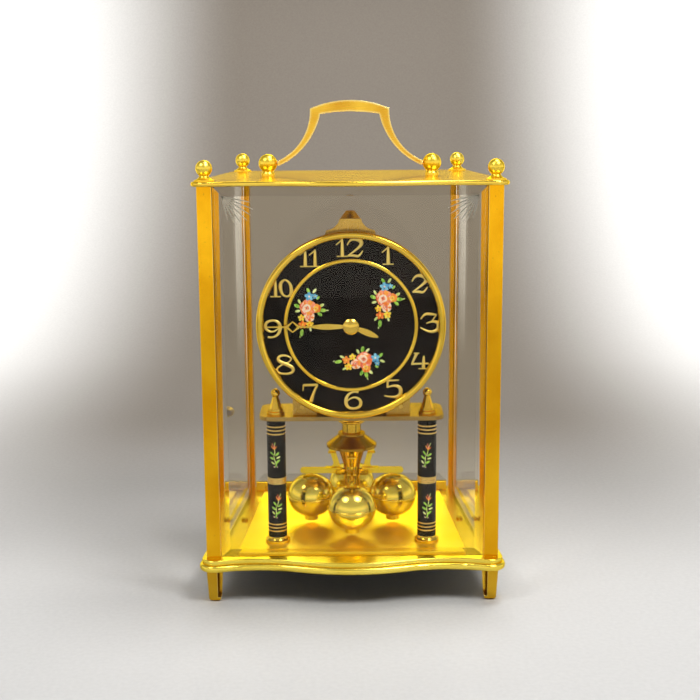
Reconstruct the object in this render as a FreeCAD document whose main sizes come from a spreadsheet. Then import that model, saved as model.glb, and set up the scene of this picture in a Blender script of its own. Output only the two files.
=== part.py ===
import FreeCAD, Part
import Sketcher
import math
import os

from FreeCAD import Placement, Rotation, Vector

# Four-glass brass clock with a torsion pendulum. Millimetres; +X is the right-hand side seen from the
# front, +Y the back, +Z up. The origin lies on the table, under the middle of the plinth.

SIZES = {
    # Case plan: four square posts on a trapezoid that is wider in front.
    "front_post_x": 75.0,
    "back_post_x": 65.5,
    "front_post_y": -58.0,
    "back_post_y": 63.0,
    "post_width": 7.7,
    "headroom": 16.6,
    # Plinth and top plate: serpentine front, straight sides, rounded corners.
    "plinth_front_y": -72.0,
    "plinth_waist_x": 51.0,
    "plinth_waist_y": -64.5,
    "plinth_waist_radius": 77.0,
    "plinth_back_y": 72.0,
    "plinth_corner_x": 74.5,
    "plinth_back_corner_x": 65.0,
    "plinth_corner_radius": 8.5,
    "lower_bead": 3.8,
    "bead_groove": 1.0,
    "upper_bead": 1.7,
    "bead_roundness": 0.42,
    "groove_inset": 2.2,
    "upper_bead_inset": 1.4,
    "plinth_wall": 3.5,
    "deck_thickness": 2.4,
    "cover_thickness": 1.0,
    "cover_gap": 0.1,
    "top_inset": 1.2,
    "top_thickness": 2.5,
    # Pressed feet, open towards the middle of the clock, the outer wall cut back.
    "foot_height": 18.5,
    "foot_width": 8.4,
    "foot_toe_width": 6.4,
    "foot_sheet": 1.1,
    "foot_front_cut": 2.6,
    "foot_sole": 2.6,
    "foot_toe_radius": 2.4,
    # Bevelled glass.
    "glass_thickness": 3.5,
    "bevel_width": 5.0,
    "bevel_depth": 1.7,
    "glass_gap": 0.15,
    "front_glass_y": -59.3,
    # Back door, turning on two pins beside the right-hand post.
    "door_gap": 0.6,
    "rail_height": 5.0,
    "rail_depth": 5.0,
    "rail_overrun": 3.4,
    "pivot_inset": 4.45,
    "pivot_radius": 1.0,
    "pivot_reach": 1.6,
    "pivot_fit": 0.05,
    "knob_inset": 12.8,
    "knob_rise": 50.0,
    "knob_radius": 3.2,
    "knob_length": 6.0,
    # Corner finials and swing handle.
    "finial_ball_radius": 4.3,
    "finial_ball_rise": 6.5,
    "finial_neck_radius": 2.3,
    "finial_foot_radius": 5.2,
    "finial_foot_rim": 0.7,
    "handle_ball_x": 46.0,
    "handle_y": 2.0,
    "handle_ball_radius": 5.2,
    "handle_ball_rise": 6.8,
    "handle_collar_radius": 3.6,
    "handle_collar_height": 2.0,
    "handle_depth": 4.0,
    "handle_end_gap": 0.5,
    "handle_end_width": 2.8,
    "handle_shoulder_x": 22.0,
    "handle_shoulder_rise": 30.0,
    "handle_crown_rise": 34.6,
    "handle_grip_x": 16.5,
    "handle_grip_rise": 27.0,
    "handle_grip_crown": 28.4,
    "handle_outer_sweep": 30.4,
    "handle_inner_sweep": 40.0,
    "handle_pin_radius": 1.0,
    "handle_pin_reach": 3.0,
    "handle_pin_fit": 0.05,
    # Floor platform and the two columns that carry the movement.
    "platform_front_x": 62.0,
    "platform_back_x": 55.5,
    "platform_front_y": -52.5,
    "platform_back_y": 54.6,
    "platform_thickness": 1.5,
    "column_x": 41.6,
    "column_y": -37.0,
    "column_foot_radius": 6.7,
    "column_foot_height": 3.5,
    "column_radius": 5.15,
    "column_height": 67.2,
    "column_flange_radius": 4.9,
    "column_flange_height": 1.7,
    "column_groove_radius": 3.3,
    "column_groove_height": 0.5,
    "column_bead_radius": 4.1,
    "column_bead_height": 1.1,
    "column_cone_base": 3.6,
    "column_cone_tip": 1.6,
    "column_cone_height": 6.6,
    "column_ball_radius": 2.5,
    "column_stud_radius": 1.5,
    "column_stud_length": 8.3,
    "column_stud_fit": 0.1,
    "bridge_x": 50.5,
    "bridge_front_y": -44.5,
    "bridge_back_y": -12.0,
    "bridge_thickness": 2.3,
    "bridge_corner_radius": 7.0,
    # Movement plates and pillars.
    "center_rise": 50.5,
    "front_plate_y": -40.0,
    "plate_thickness": 2.0,
    "plate_gap": 23.0,
    "plate_x": 32.0,
    "plate_foot_x": 19.0,
    "plate_foot_height": 3.0,
    "plate_shoulder_rise": 34.0,
    "crest_base_x": 12.8,
    "crest_base_rise": 50.4,
    "crest_top_x": 5.65,
    "crest_top_rise": 56.6,
    "crest_sweep": 8.0,
    "shoulder_sweep": 26.0,
    "back_top_x": 9.0,
    "back_top_rise": 47.0,
    "pillar_radius": 2.0,
    "pillar_shank_radius": 1.2,
    "pillar_low_x": 27.0,
    "pillar_low_drop": 46.0,
    "pillar_high_x": 24.0,
    "pillar_high_rise": 32.0,
    # Dial, bezel, inner ring and hands.
    "dial_y": -46.0,
    "dial_thickness": 1.0,
    "dial_radius": 50.0,
    "dial_hole_radius": 2.6,
    "dial_foot_radius": 1.5,
    "dial_foot_x": 20.0,
    "dial_foot_drop": 30.0,
    "dial_foot_rise": 36.0,
    "bezel_outer_radius": 50.6,
    "bezel_inner_radius": 46.7,
    "bezel_depth": 4.0,
    "ring_outer_radius": 35.9,
    "ring_inner_radius": 34.0,
    "ring_depth": 0.9,
    "hand_thickness": 0.6,
    "hour_hand_gap": 1.3,
    "minute_hand_gap": 2.8,
    "hour_hand_length": 15.7,
    "hour_hand_width": 3.2,
    "hour_hand_angle": 112.5,
    "hour_boss_radius": 4.0,
    "minute_hand_length": 45.4,
    "minute_hand_width": 0.9,
    "minute_diamond_at": 31.0,
    "minute_diamond_length": 7.4,
    "minute_diamond_width": 6.3,
    "minute_diamond_rim": 0.7,
    "minute_boss_radius": 3.2,
    "minute_hand_angle": 270.0,
    "minute_leaf_length": 21.0,
    "minute_leaf_width": 2.8,
    "hand_tip": 0.3,
    "seat_fit": 0.02,
    "nut_bore_depth": 1.6,
    "hand_nut_radius": 4.3,
    "hand_nut_height": 2.4,
    # Going train: tooth counts, modules, arbors and levels behind the front plate.
    "pivot_hole_fit": 0.03,
    "arbor_radius": 0.8,
    "arbor_pivot_radius": 0.5,
    "arbor_shake": 0.3,
    "pinion_leaves": 8,
    "barrel_teeth": 64,
    "barrel_module": 0.6,
    "second_teeth": 56,
    "third_teeth": 56,
    "upper_module": 0.4,
    "center_teeth": 32,
    "center_module": 0.5,
    "fourth_teeth": 24,
    "fourth_module": 0.6,
    "escape_teeth": 20,
    "escape_tip_radius": 8.3,
    "escape_root_radius": 6.4,
    "escape_rise": 16.0,
    "wheel_thickness": 1.2,
    "wheel_rim": 1.1,
    "wheel_hub_radius": 2.6,
    "spoke_width": 1.2,
    "tooth_addendum": 0.7,
    "tooth_dedendum": 1.0,
    "tooth_tip_share": 0.2,
    "tooth_root_share": 0.52,
    "leaf_root_share": 0.4,
    "pinion_length": 2.6,
    "barrel_x": 11.0,
    "barrel_drop": 30.5,
    "barrel_level": 2.0,
    "great_wheel_thickness": 2.0,
    "drum_radius": 17.3,
    "drum_wall": 1.2,
    "drum_depth": 14.4,
    "drum_cap": 1.1,
    "second_angle": 149.0,
    "second_level": 19.0,
    "third_level": 6.0,
    "center_level": 13.0,
    "fourth_level": 9.0,
    "escape_level": 18.0,
    # Mainspring and winding work.
    "spring_turns": 7,
    "spring_strip": 0.5,
    "spring_core_radius": 5.0,
    "spring_clearance": 0.4,
    "spring_room": 1.15,
    "winding_radius": 2.2,
    "winding_pivot_radius": 1.5,
    "winding_core_radius": 4.0,
    "winding_square": 3.2,
    "winding_square_length": 9.0,
    "winding_fit": 0.05,
    "ratchet_teeth": 24,
    "ratchet_tip_radius": 7.0,
    "ratchet_root_radius": 5.9,
    "ratchet_thickness": 1.4,
    "ratchet_gap": 0.4,
    "click_stud_radius": 0.8,
    "click_boss_radius": 2.0,
    "click_radius": 10.5,
    "click_angle": 100.0,
    "click_nose_angle": 57.8,
    "click_nose_depth": 0.55,
    "click_arm_width": 1.4,
    # Motion work between the front plate and the dial.
    "motion_module": 0.5,
    "cannon_teeth": 10,
    "minute_teeth": 30,
    "hour_teeth": 32,
    "motion_wheel_thickness": 1.0,
    "minute_wheel_angle": -45.0,
    "minute_wheel_gap": 1.6,
    "hour_wheel_gap": 3.4,
    "cannon_length": 1.8,
    "center_front_radius": 0.9,
    "cannon_pipe_radius": 1.5,
    "hour_pipe_radius": 2.3,
    "pipe_fit": 0.05,
    "motion_stud_radius": 0.8,
    "stud_gap": 0.3,
    # Anchor, fork and torsion suspension behind the back plate.
    "anchor_rise": 28.0,
    "anchor_thickness": 2.0,
    "pallet_span": 49.5,
    "pallet_gap": 0.5,
    "pallet_width": 1.4,
    "anchor_arch_x": 2.4,
    "anchor_arch_drop": 2.0,
    "anchor_shoulder_x": 5.6,
    "anchor_shoulder_rise": 0.2,
    "anchor_crown_x": 2.2,
    "anchor_crown_rise": 2.4,
    "anchor_pin_radius": 0.5,
    "anchor_pin_y": -10.4,
    "anchor_pin_length": 13.5,
    "suspension_y": -6.0,
    "bracket_foot_thickness": 1.5,
    "bracket_x": 4.5,
    "bracket_foot_drop": 12.0,
    "bracket_arm_rise": 50.0,
    "bracket_arm_thickness": 3.0,
    "bracket_overhang": 6.4,
    "bracket_knob_radius": 5.8,
    "bracket_knob_rim": 0.9,
    "bracket_knob_top": 2.8,
    "bracket_knob_height": 5.4,
    "bracket_knob_round": 0.8,
    "bracket_block_radius": 1.6,
    "bracket_block_height": 3.5,
    "wire_width": 0.5,
    "wire_thickness": 0.12,
    "fork_rise": 39.5,
    "fork_height": 1.4,
    "fork_radius": 1.9,
    "fork_bore": 0.45,
    "fork_slot": 1.7,
    "fork_tine": 0.9,
    "fork_reach": 5.1,
    # Pendulum.
    "ball_clearance": 2.5,
    "ball_nub_radius": 3.9,
    "ball_nub_height": 2.1,
    "ball_radius": 13.5,
    "ball_half_height": 12.4,
    "ball_ridge_height": 0.9,
    "ball_ridge_stand": 0.3,
    "ball_neck_radius": 1.3,
    "ball_neck": 0.6,
    "ball_circle_radius": 23.7,
    "lever_thickness": 1.4,
    "lever_height": 3.6,
    "lever_inner_radius": 5.8,
    "lever_outer_radius": 30.0,
    "lever_leg_inset": 6.4,
    "lever_leg_width": 3.4,
    "lever_leg_splay": 3.4,
    "lever_leg_height": 11.5,
    "lever_tab_inner": 6.4,
    "lever_tab_outer": 15.5,
    "lever_cove": 3.0,
    "lever_lip_inner": 9.2,
    "lever_lip_outer": 13.6,
    "lever_lip_thickness": 0.5,
    "lever_lip_rise": 12.3,
    "lever_tab_width": 5.0,
    "lever_tab_thickness": 0.8,
    "lever_tab_hole_at": 9.6,
    "lever_tab_hole_radius": 0.8,
    "lever_pivot_radius": 8.0,
    "lever_pivot_rise": 1.0,
    "lever_pin_radius": 0.6,
    "lever_pin_fit": 0.06,
    "ear_gap": 0.12,
    "ear_thickness": 1.0,
    "ear_reach": 9.4,
    "ear_drop": 0.8,
    "ear_height": 3.3,
    "hub_radius": 4.6,
    "hub_drop": 7.0,
    "hub_cone_start": 4.8,
    "hub_cone_radius": 7.8,
    "hub_rise": 15.7,
    "hub_rim": 0.7,
    "spindle_radius": 2.5,
    "disc_fit": 0.05,
    "disc_rim_radius": 14.4,
    "disc_rim_rise": 0.6,
    "disc_rim_height": 1.5,
    "disc_height": 8.7,
    "disc_ring_radius": 7.75,
    "disc_ring_height": 1.1,
    "neck_radius": 5.35,
    "neck_height": 6.0,
    "flange_radius": 7.75,
    "flange_height": 1.8,
    "hook_radius": 2.2,
    "hook_height": 3.0,
}

doc = FreeCAD.newDocument("four_glass_clock")
sheet = doc.addObject("Spreadsheet::Sheet", "sizes")
for row, (alias, number) in enumerate(SIZES.items(), start=1):
    sheet.set(f"A{row}", alias)
    sheet.set(f"B{row}", str(number))
    sheet.setAlias(f"B{row}", alias)
doc.recompute()

UP = Vector(0, 0, 1)
RIGHT = Vector(1, 0, 0)
LEFT_TURN = 1
RIGHT_TURN = -1
ALONG_Y = (RIGHT, -90)
nodes = []


class Size:
    """A measure tied to the sheet: its number now, and the expression that gives it."""

    def __init__(self, value, text):
        self.value = float(value)
        self.text = text

    def __add__(self, other):
        other = sized(other)
        return Size(self.value + other.value, f"({self.text} + {other.text})")

    def __sub__(self, other):
        other = sized(other)
        return Size(self.value - other.value, f"({self.text} - {other.text})")

    def __mul__(self, other):
        other = sized(other)
        return Size(self.value * other.value, f"({self.text} * {other.text})")

    def __truediv__(self, other):
        other = sized(other)
        return Size(self.value / other.value, f"({self.text} / {other.text})")

    def __neg__(self):
        return Size(-self.value, f"(-1 * {self.text})")

    def __rsub__(self, other):
        return sized(other) - self

    __radd__ = __add__
    __rmul__ = __mul__


class Sheet:
    """The sheet's cells, by alias."""

    def __getattr__(self, alias):
        return Size(sheet.get(alias), f"sizes.{alias}")


dim = Sheet()


def sized(number):
    return number if isinstance(number, Size) else Size(number, repr(float(number)))


def square_root(size):
    return Size(math.sqrt(size.value), f"sqrt({size.text})")


def cosine(angle):
    angle = sized(angle)
    return Size(math.cos(math.radians(angle.value)), f"cos({angle.text} * 1 deg)")


def sine(angle):
    angle = sized(angle)
    return Size(math.sin(math.radians(angle.value)), f"sin({angle.text} * 1 deg)")


def slope_angle(rise, run):
    ratio = rise / run
    return Size(math.degrees(math.atan(ratio.value)), f"(atan({ratio.text}) / 1 deg)")


def hypotenuse(across, along):
    return square_root(across * across + along * along)


def arc_radius(chord, rise):
    """Radius of the arc that rises by rise over a chord."""
    return (chord * chord / 4 + rise * rise) / (rise * 2)


def bind(obj, **measures):
    for name, measure in measures.items():
        measure = sized(measure)
        setattr(obj, name, measure.value)
        obj.setExpression(name, measure.text)
    return obj


def place(obj, x=0, y=0, z=0, turn=(UP, 0)):
    axis, angle = turn
    angle = sized(angle)
    spot = [sized(measure) for measure in (x, y, z)]
    obj.Placement = Placement(Vector(*[measure.value for measure in spot]), Rotation(axis, angle.value))
    for name, measure in zip("xyz", spot):
        obj.setExpression(f"Placement.Base.{name}", measure.text)
    if "sizes." in angle.text:
        obj.setExpression("Placement.Rotation.Angle", angle.text)
    return obj


def keep(obj, label):
    """Name a finished sub-part; its label is its file's name."""
    obj.Label = label
    nodes.append(obj)
    return obj


def box(length, width, height, x=0, y=0, z=0, turn=(UP, 0)):
    solid = doc.addObject("Part::Box", "block")
    return place(bind(solid, Length=length, Width=width, Height=height), x, y, z, turn)


def rod(radius, length, x=0, y=0, z=0, turn=(UP, 0)):
    solid = doc.addObject("Part::Cylinder", "rod")
    return place(bind(solid, Radius=radius, Height=length), x, y, z, turn)


def fused(pieces, label="joined"):
    union = doc.addObject("Part::MultiFuse", label)
    union.Shapes = pieces
    return union


def cut(base, tools, label="cut"):
    tool = tools[0] if len(tools) == 1 else fused(tools, "cutters")
    difference = doc.addObject("Part::Cut", label)
    difference.Base = base
    difference.Tool = tool
    return difference


def group(pieces, label):
    compound = doc.addObject("Part::Compound", label)
    compound.Links = pieces
    return keep(compound, label)


# Sketches: loops of lines and arcs, every corner tied to the sheet.

def sketch_in(body, role, rise=0):
    sketch = body.newObject("Sketcher::SketchObject", "profile")
    plane = next(part for part in body.Origin.OriginFeatures if part.Role == role)
    sketch.AttachmentSupport = (plane, [""])
    sketch.MapMode = "FlatFace"
    sketch.setExpression("AttachmentOffset.Base.z", sized(rise).text)
    return sketch


def fix(sketch, kind, where, size):
    index = sketch.addConstraint(Sketcher.Constraint(kind, *where, size.value))
    sketch.setExpression(f"Constraints[{index}]", size.text)


def fix_point(sketch, edge, end, x, y):
    for kind, axis, measure in (("DistanceX", -2, x), ("DistanceY", -1, y)):
        if isinstance(measure, Size):
            fix(sketch, kind, (edge, end), measure)
        else:
            sketch.addConstraint(Sketcher.Constraint("PointOnObject", edge, end, axis))


def arc_between(start, end, radius, turning):
    chord = end - start
    half = chord.Length / 2
    normal = Vector(-chord.y, chord.x, 0) / chord.Length
    offset = math.sqrt(max(radius * radius - half * half, 0))
    center = (start + end) / 2 + normal * (offset * turning)
    first, last = (start, end) if turning > 0 else (end, start)
    angles = [math.atan2(point.y - center.y, point.x - center.x) for point in (first, last)]
    return Part.ArcOfCircle(Part.Circle(center, UP, radius), *angles)


def draw_loop(sketch, corners):
    """Closed loop through corners (x, y); a corner (x, y, radius, turning) ends an arc."""
    spots = [Vector(sized(corner[0]).value, sized(corner[1]).value, 0) for corner in corners]
    edges = []
    for index, corner in enumerate(corners):
        start, end = spots[index - 1], spots[index]
        if len(corner) == 2:
            edges.append((sketch.addGeometry(Part.LineSegment(start, end)), 1, 2))
            continue
        radius, turning = corner[2:]
        number = sketch.addGeometry(arc_between(start, end, radius.value, turning))
        fix(sketch, "Radius", (number,), radius)
        edges.append((number, 1, 2) if turning > 0 else (number, 2, 1))
    for index, corner in enumerate(corners):
        edge, _, end = edges[index]
        following, start, _ = edges[(index + 1) % len(edges)]
        sketch.addConstraint(Sketcher.Constraint("Coincident", edge, end, following, start))
        fix_point(sketch, edge, end, *corner[:2])


def draw_circle(sketch, x, y, radius):
    center = Vector(sized(x).value, sized(y).value, 0)
    number = sketch.addGeometry(Part.Circle(center, UP, radius.value))
    fix(sketch, "Radius", (number,), radius)
    fix_point(sketch, number, 3, x, y)


def mirrored(path, crown=(), base=()):
    """Loop up the right-hand path and down its mirror image; crown and base are the arcs across."""
    loop = [path[0][:2] + base] + path[1:]
    loop.append((-path[-1][0], path[-1][1]) + crown)
    for here, before in zip(path[:0:-1], path[-2::-1]):
        loop.append((-before[0], before[1]) + here[2:])
    return loop


def new_body(name):
    return doc.addObject("PartDesign::Body", name)


def pad(body, sketch, length, backwards=False):
    feature = body.newObject("PartDesign::Pad", "pad")
    feature.Profile = sketch
    feature.Reversed = backwards
    return bind(feature, Length=length)


def flat_plate(name, loop, thickness, holes=()):
    """Plate lying level: its outline in plan, its holes as (x, y, radius)."""
    body = new_body(name)
    sketch = sketch_in(body, "XY_Plane")
    draw_loop(sketch, loop)
    for hole in holes:
        draw_circle(sketch, *hole)
    pad(body, sketch, thickness)
    return body


def upright_plate(name, loop, thickness, holes=()):
    """Plate standing across the clock: its outline seen from the front, thickness towards the back."""
    body = new_body(name)
    sketch = sketch_in(body, "XZ_Plane")
    draw_loop(sketch, loop)
    for hole in holes:
        draw_circle(sketch, *hole)
    pad(body, sketch, thickness, backwards=True)
    return body


def turned(name, profile):
    """Lathe-turned piece about its own Z axis, from a (radius, height) profile."""
    body = new_body(name)
    sketch = sketch_in(body, "XZ_Plane")
    draw_loop(sketch, profile)
    feature = body.newObject("PartDesign::Revolution", "turning")
    feature.Profile = sketch
    feature.ReferenceAxis = (sketch, ["V_Axis"])
    bind(feature, Angle=360)
    return body


def edges_at(shape, *heights):
    """Names of the edges that lie level at any of the heights."""
    names = []
    for number, edge in enumerate(shape.Edges, start=1):
        low, high = edge.BoundBox.ZMin, edge.BoundBox.ZMax
        if any(abs(low - height.value) < 1e-4 and abs(high - height.value) < 1e-4 for height in heights):
            names.append(f"Edge{number}")
    return names


def round_edges(body, radius, *heights):
    doc.recompute()
    solid = body.Tip
    feature = body.newObject("PartDesign::Fillet", "rounding")
    feature.Base = (solid, edges_at(solid.Shape, *heights))
    bind(feature, Radius=radius)


# Levels that stack up from the table.

base_top = dim.foot_height + dim.lower_bead + dim.bead_groove + dim.upper_bead
movement_height = (
    dim.center_rise + dim.bracket_arm_rise + dim.bracket_arm_thickness + dim.bracket_knob_height
)
carrier_height = dim.platform_thickness + dim.column_foot_height + dim.column_height + dim.bridge_thickness
post_height = carrier_height + movement_height + dim.headroom
ceiling = base_top + post_height
roof = ceiling + dim.top_thickness
platform_top = base_top + dim.platform_thickness
column_low = platform_top + dim.column_foot_height
bridge_under = column_low + dim.column_height
bridge_top = bridge_under + dim.bridge_thickness
center_z = bridge_top + dim.center_rise


# Plinth: a hollow moulding of two beads with a groove between, closed below by a plain cover.

def serpentine(inset):
    """Plan outline of the plinth, drawn in by inset: bowed front, hollow waists, round corners."""
    bow_drop = dim.plinth_waist_y - dim.plinth_front_y
    reach = (dim.plinth_waist_x * dim.plinth_waist_x + bow_drop * bow_drop) / (bow_drop * 2)
    bow_radius = reach - dim.plinth_waist_radius
    bow_y = dim.plinth_front_y + bow_radius
    waist_y = dim.plinth_waist_y - dim.plinth_waist_radius
    span = dim.plinth_waist_radius + dim.plinth_corner_radius
    offset = dim.plinth_corner_x - dim.plinth_waist_x
    corner_y = waist_y + square_root(span * span - offset * offset)
    back_y = dim.plinth_back_y - dim.plinth_corner_radius
    side_x = dim.plinth_back_corner_x - dim.plinth_corner_x
    side_y = back_y - corner_y
    side = hypotenuse(side_x, side_y)
    bow = bow_radius - inset
    waist = dim.plinth_waist_radius + inset
    corner = dim.plinth_corner_radius - inset
    out_x = side_y / side * corner
    out_y = -side_x / side * corner
    path = [
        (dim.plinth_waist_x * bow / reach, bow_y + (waist_y - bow_y) * bow / reach),
        (dim.plinth_waist_x + offset * waist / span, waist_y + (corner_y - waist_y) * waist / span,
         waist, RIGHT_TURN),
        (dim.plinth_corner_x + out_x, corner_y + out_y, corner, LEFT_TURN),
        (dim.plinth_back_corner_x + out_x, back_y + out_y),
        (dim.plinth_back_corner_x, back_y + corner, corner, LEFT_TURN),
    ]
    return mirrored(path, base=(bow, LEFT_TURN))


door_pivot_x = dim.back_post_x - dim.post_width / 2 - dim.pivot_inset
bead_top = dim.lower_bead
groove_top = bead_top + dim.bead_groove
deck_top = groove_top + dim.upper_bead

plinth = new_body("plinth")


def plinth_layer(inset, rise, height):
    outline = sketch_in(plinth, "XY_Plane", rise)
    draw_loop(outline, serpentine(inset))
    pad(plinth, outline, height)


plinth_layer(sized(0), 0, dim.lower_bead)
round_edges(plinth, dim.lower_bead * dim.bead_roundness, sized(0), bead_top)
plinth_layer(dim.groove_inset, bead_top, dim.bead_groove)
plinth_layer(dim.upper_bead_inset, groove_top, dim.upper_bead)
round_edges(plinth, dim.upper_bead * dim.bead_roundness, deck_top)
hollow = sketch_in(plinth, "XY_Plane")
draw_loop(hollow, serpentine(dim.plinth_wall))
pocket = plinth.newObject("PartDesign::Pocket", "hollow")
pocket.Profile = hollow
pocket.Reversed = True
bind(pocket, Length=deck_top - dim.deck_thickness)
pivot_sketch = sketch_in(plinth, "XY_Plane", deck_top)
draw_circle(pivot_sketch, door_pivot_x, dim.back_post_y, dim.pivot_radius + dim.pivot_fit)
pivot_hole = plinth.newObject("PartDesign::Pocket", "pivot_hole")
pivot_hole.Profile = pivot_sketch
bind(pivot_hole, Length=dim.deck_thickness)
keep(place(plinth, z=dim.foot_height), "base_plinth")

cover = flat_plate("cover", serpentine(dim.plinth_wall + dim.cover_gap), dim.cover_thickness)
keep(place(cover, z=dim.foot_height), "bottom_cover")


# Feet: tapered square pressings with rounded toes, one under each post.

post_spots = [
    ("front_left", -dim.front_post_x, dim.front_post_y, 1, 1),
    ("front_right", dim.front_post_x, dim.front_post_y, -1, 1),
    ("back_left", -dim.back_post_x, dim.back_post_y, 1, -1),
    ("back_right", dim.back_post_x, dim.back_post_y, -1, -1),
]


def tapered_block(top_width, toe_width, height, x, y, z):
    """Square block that narrows from its top down to its toe."""
    block = doc.addObject("Part::Wedge", "tapered_block")
    top, toe = top_width / 2, toe_width / 2
    bind(block, Xmin=-toe, Xmax=toe, Zmin=-toe, Zmax=toe, Ymin=0, Ymax=height)
    bind(block, X2min=-top, X2max=top, Z2min=-top, Z2max=top)
    return place(block, x, y, z, (RIGHT, 90))


def foot(x, y, inward_x, inward_y):
    shell = tapered_block(dim.foot_width, dim.foot_toe_width, dim.foot_height, x, y, 0)
    doc.recompute()
    rounded = doc.addObject("Part::Fillet", "foot_rounding")
    rounded.Base = shell
    toe_radius = dim.foot_toe_radius.value
    names = edges_at(shell.Shape, sized(0))
    rounded.Edges = [(int(name[4:]), toe_radius, toe_radius) for name in names]
    walls = dim.foot_sheet * 2
    inside = tapered_block(
        dim.foot_width - walls, dim.foot_toe_width - walls, dim.foot_height - dim.foot_sheet,
        x + walls * 0.75 * inward_x, y, dim.foot_sheet,
    )
    front_cut = box(
        dim.foot_front_cut * 2, walls * 2, dim.foot_height - dim.foot_sole,
        x + dim.foot_width / 2 * inward_x - dim.foot_front_cut, y - dim.foot_width / 2 * inward_y - walls,
        dim.foot_sole,
    )
    return cut(rounded, [inside, front_cut], "foot")


group([foot(*spot[1:]) for spot in post_spots], "case_feet")


# Posts: square brass bar between the plinth and the top plate.

for name, post_x, post_y, _, _ in post_spots:
    post = box(
        dim.post_width, dim.post_width, post_height,
        post_x - dim.post_width / 2, post_y - dim.post_width / 2, base_top,
    )
    keep(post, f"post_{name}")


# Top plate: the plinth's outline drawn in a little, with a round edge.

top = flat_plate("top", serpentine(dim.top_inset), dim.top_thickness)
round_edges(top, dim.top_thickness * dim.bead_roundness, sized(0), dim.top_thickness)
upper_pivot = sketch_in(top, "XY_Plane")
draw_circle(upper_pivot, door_pivot_x, dim.back_post_y, dim.pivot_radius + dim.pivot_fit)
upper_hole = top.newObject("PartDesign::Pocket", "pivot_hole")
upper_hole.Profile = upper_pivot
upper_hole.Reversed = True
bind(upper_hole, Length=dim.pivot_reach)
keep(place(top, z=ceiling), "top_plate")


# Glass: flat panes with a wide ground bevel round the outer face.

def pane(length, height):
    """Pane standing on its long edge, middle of the edge at the origin, bevelled face towards -Y."""
    half = length / 2
    slab = box(length, dim.glass_thickness - dim.bevel_depth, height, x=-half)
    bevel = doc.addObject("Part::Wedge", "bevel")
    inner = half - dim.bevel_width
    bind(bevel, Xmin=-half, Xmax=half, Zmin=0, Zmax=height, Ymin=0, Ymax=dim.bevel_depth)
    bind(bevel, X2min=-inner, X2max=inner, Z2min=dim.bevel_width, Z2max=height - dim.bevel_width)
    place(bevel, turn=(UP, 180))
    return fused([slab, bevel], "pane")


front_width = (dim.front_post_x - dim.glass_gap) * 2 - dim.post_width
keep(place(pane(front_width, post_height), 0, dim.front_glass_y, base_top), "front_glass")

case_depth = dim.back_post_y - dim.front_post_y
side_length = case_depth - dim.post_width - dim.glass_gap * 2
side_x = (dim.front_post_x + dim.back_post_x) / 2
side_y = (dim.front_post_y + dim.back_post_y) / 2
side_slope = slope_angle(dim.front_post_x - dim.back_post_x, case_depth)
for name, way in (("left_glass", -1), ("right_glass", 1)):
    side = pane(side_length, post_height)
    keep(place(side, side_x * way, side_y, base_top, (UP, (side_slope + 90) * way)), name)


# Back door: a bevelled pane held by brass rails that turn on pins in the plinth and the top plate.

door_left = -(dim.back_post_x - dim.post_width / 2 - dim.door_gap)
door_right = door_pivot_x + dim.rail_overrun
door_width = door_right - door_left
door_glass_z = base_top + dim.door_gap + dim.rail_height
door_glass_height = post_height - (dim.door_gap + dim.rail_height) * 2
door_glass = pane(door_width, door_glass_height)
place(door_glass, (door_left + door_right) / 2, dim.back_post_y, door_glass_z, (UP, 180))
keep(door_glass, "back_door_glass")

rails = []
for rail_z, pin_z in (
    (base_top + dim.door_gap, base_top - dim.pivot_reach),
    (door_glass_z + door_glass_height, door_glass_z + door_glass_height + dim.rail_height),
):
    rail_y = dim.back_post_y - dim.rail_depth / 2
    bar = box(door_width, dim.rail_depth, dim.rail_height, door_left, rail_y, rail_z)
    pin = rod(dim.pivot_radius, dim.door_gap + dim.pivot_reach, door_pivot_x, dim.back_post_y, pin_z)
    rails.append(fused([bar, pin], "rail"))
group(rails, "back_door_rails")

knob_waist = dim.knob_radius / 2
knob = turned("knob", [
    (0, 0),
    (dim.knob_radius * 0.8, 0),
    (knob_waist, dim.knob_length * 0.4, dim.knob_length * 0.4, RIGHT_TURN),
    (dim.knob_radius, dim.knob_length * 0.65),
    (dim.knob_radius, dim.knob_length * 0.85),
    (0, dim.knob_length, arc_radius(dim.knob_radius * 2, dim.knob_length * 0.15), LEFT_TURN),
])
knob_y = dim.back_post_y + dim.bevel_depth
place(knob, door_left + dim.knob_inset, knob_y, base_top + dim.knob_rise, ALONG_Y)
keep(knob, "back_door_knob")


# Corner finials: a ball on a flared foot over each post.

def ball_top(radius, neck_radius, center):
    """Upper part of a turned profile: a ball that grows out of its neck, closing on the axis."""
    hidden = square_root(radius * radius - neck_radius * neck_radius)
    return [
        (neck_radius, center - hidden),
        (radius, center, radius, LEFT_TURN),
        (0, center + radius, radius, LEFT_TURN),
    ]


def finial():
    neck, rise = dim.finial_neck_radius, dim.finial_ball_rise
    hidden = square_root(dim.finial_ball_radius * dim.finial_ball_radius - neck * neck)
    flare = hypotenuse(dim.finial_foot_radius - neck, rise - hidden - dim.finial_foot_rim)
    ball = ball_top(dim.finial_ball_radius, neck, rise)
    return turned("finial", [
        (0, 0),
        (dim.finial_foot_radius, 0),
        (dim.finial_foot_radius, dim.finial_foot_rim),
        ball[0] + (flare, RIGHT_TURN),
        ball[1],
        ball[2],
    ])


group([place(finial(), x, y, roof) for _, x, y, _, _ in post_spots], "corner_finials")


# Handle balls: two turned balls on collars, bored to take the handle's pins.

handle_z = roof + dim.handle_ball_rise
pin_end = dim.handle_ball_x - dim.handle_ball_radius + dim.handle_pin_reach
handle_end_x = dim.handle_ball_x - dim.handle_ball_radius - dim.handle_end_gap


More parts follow.
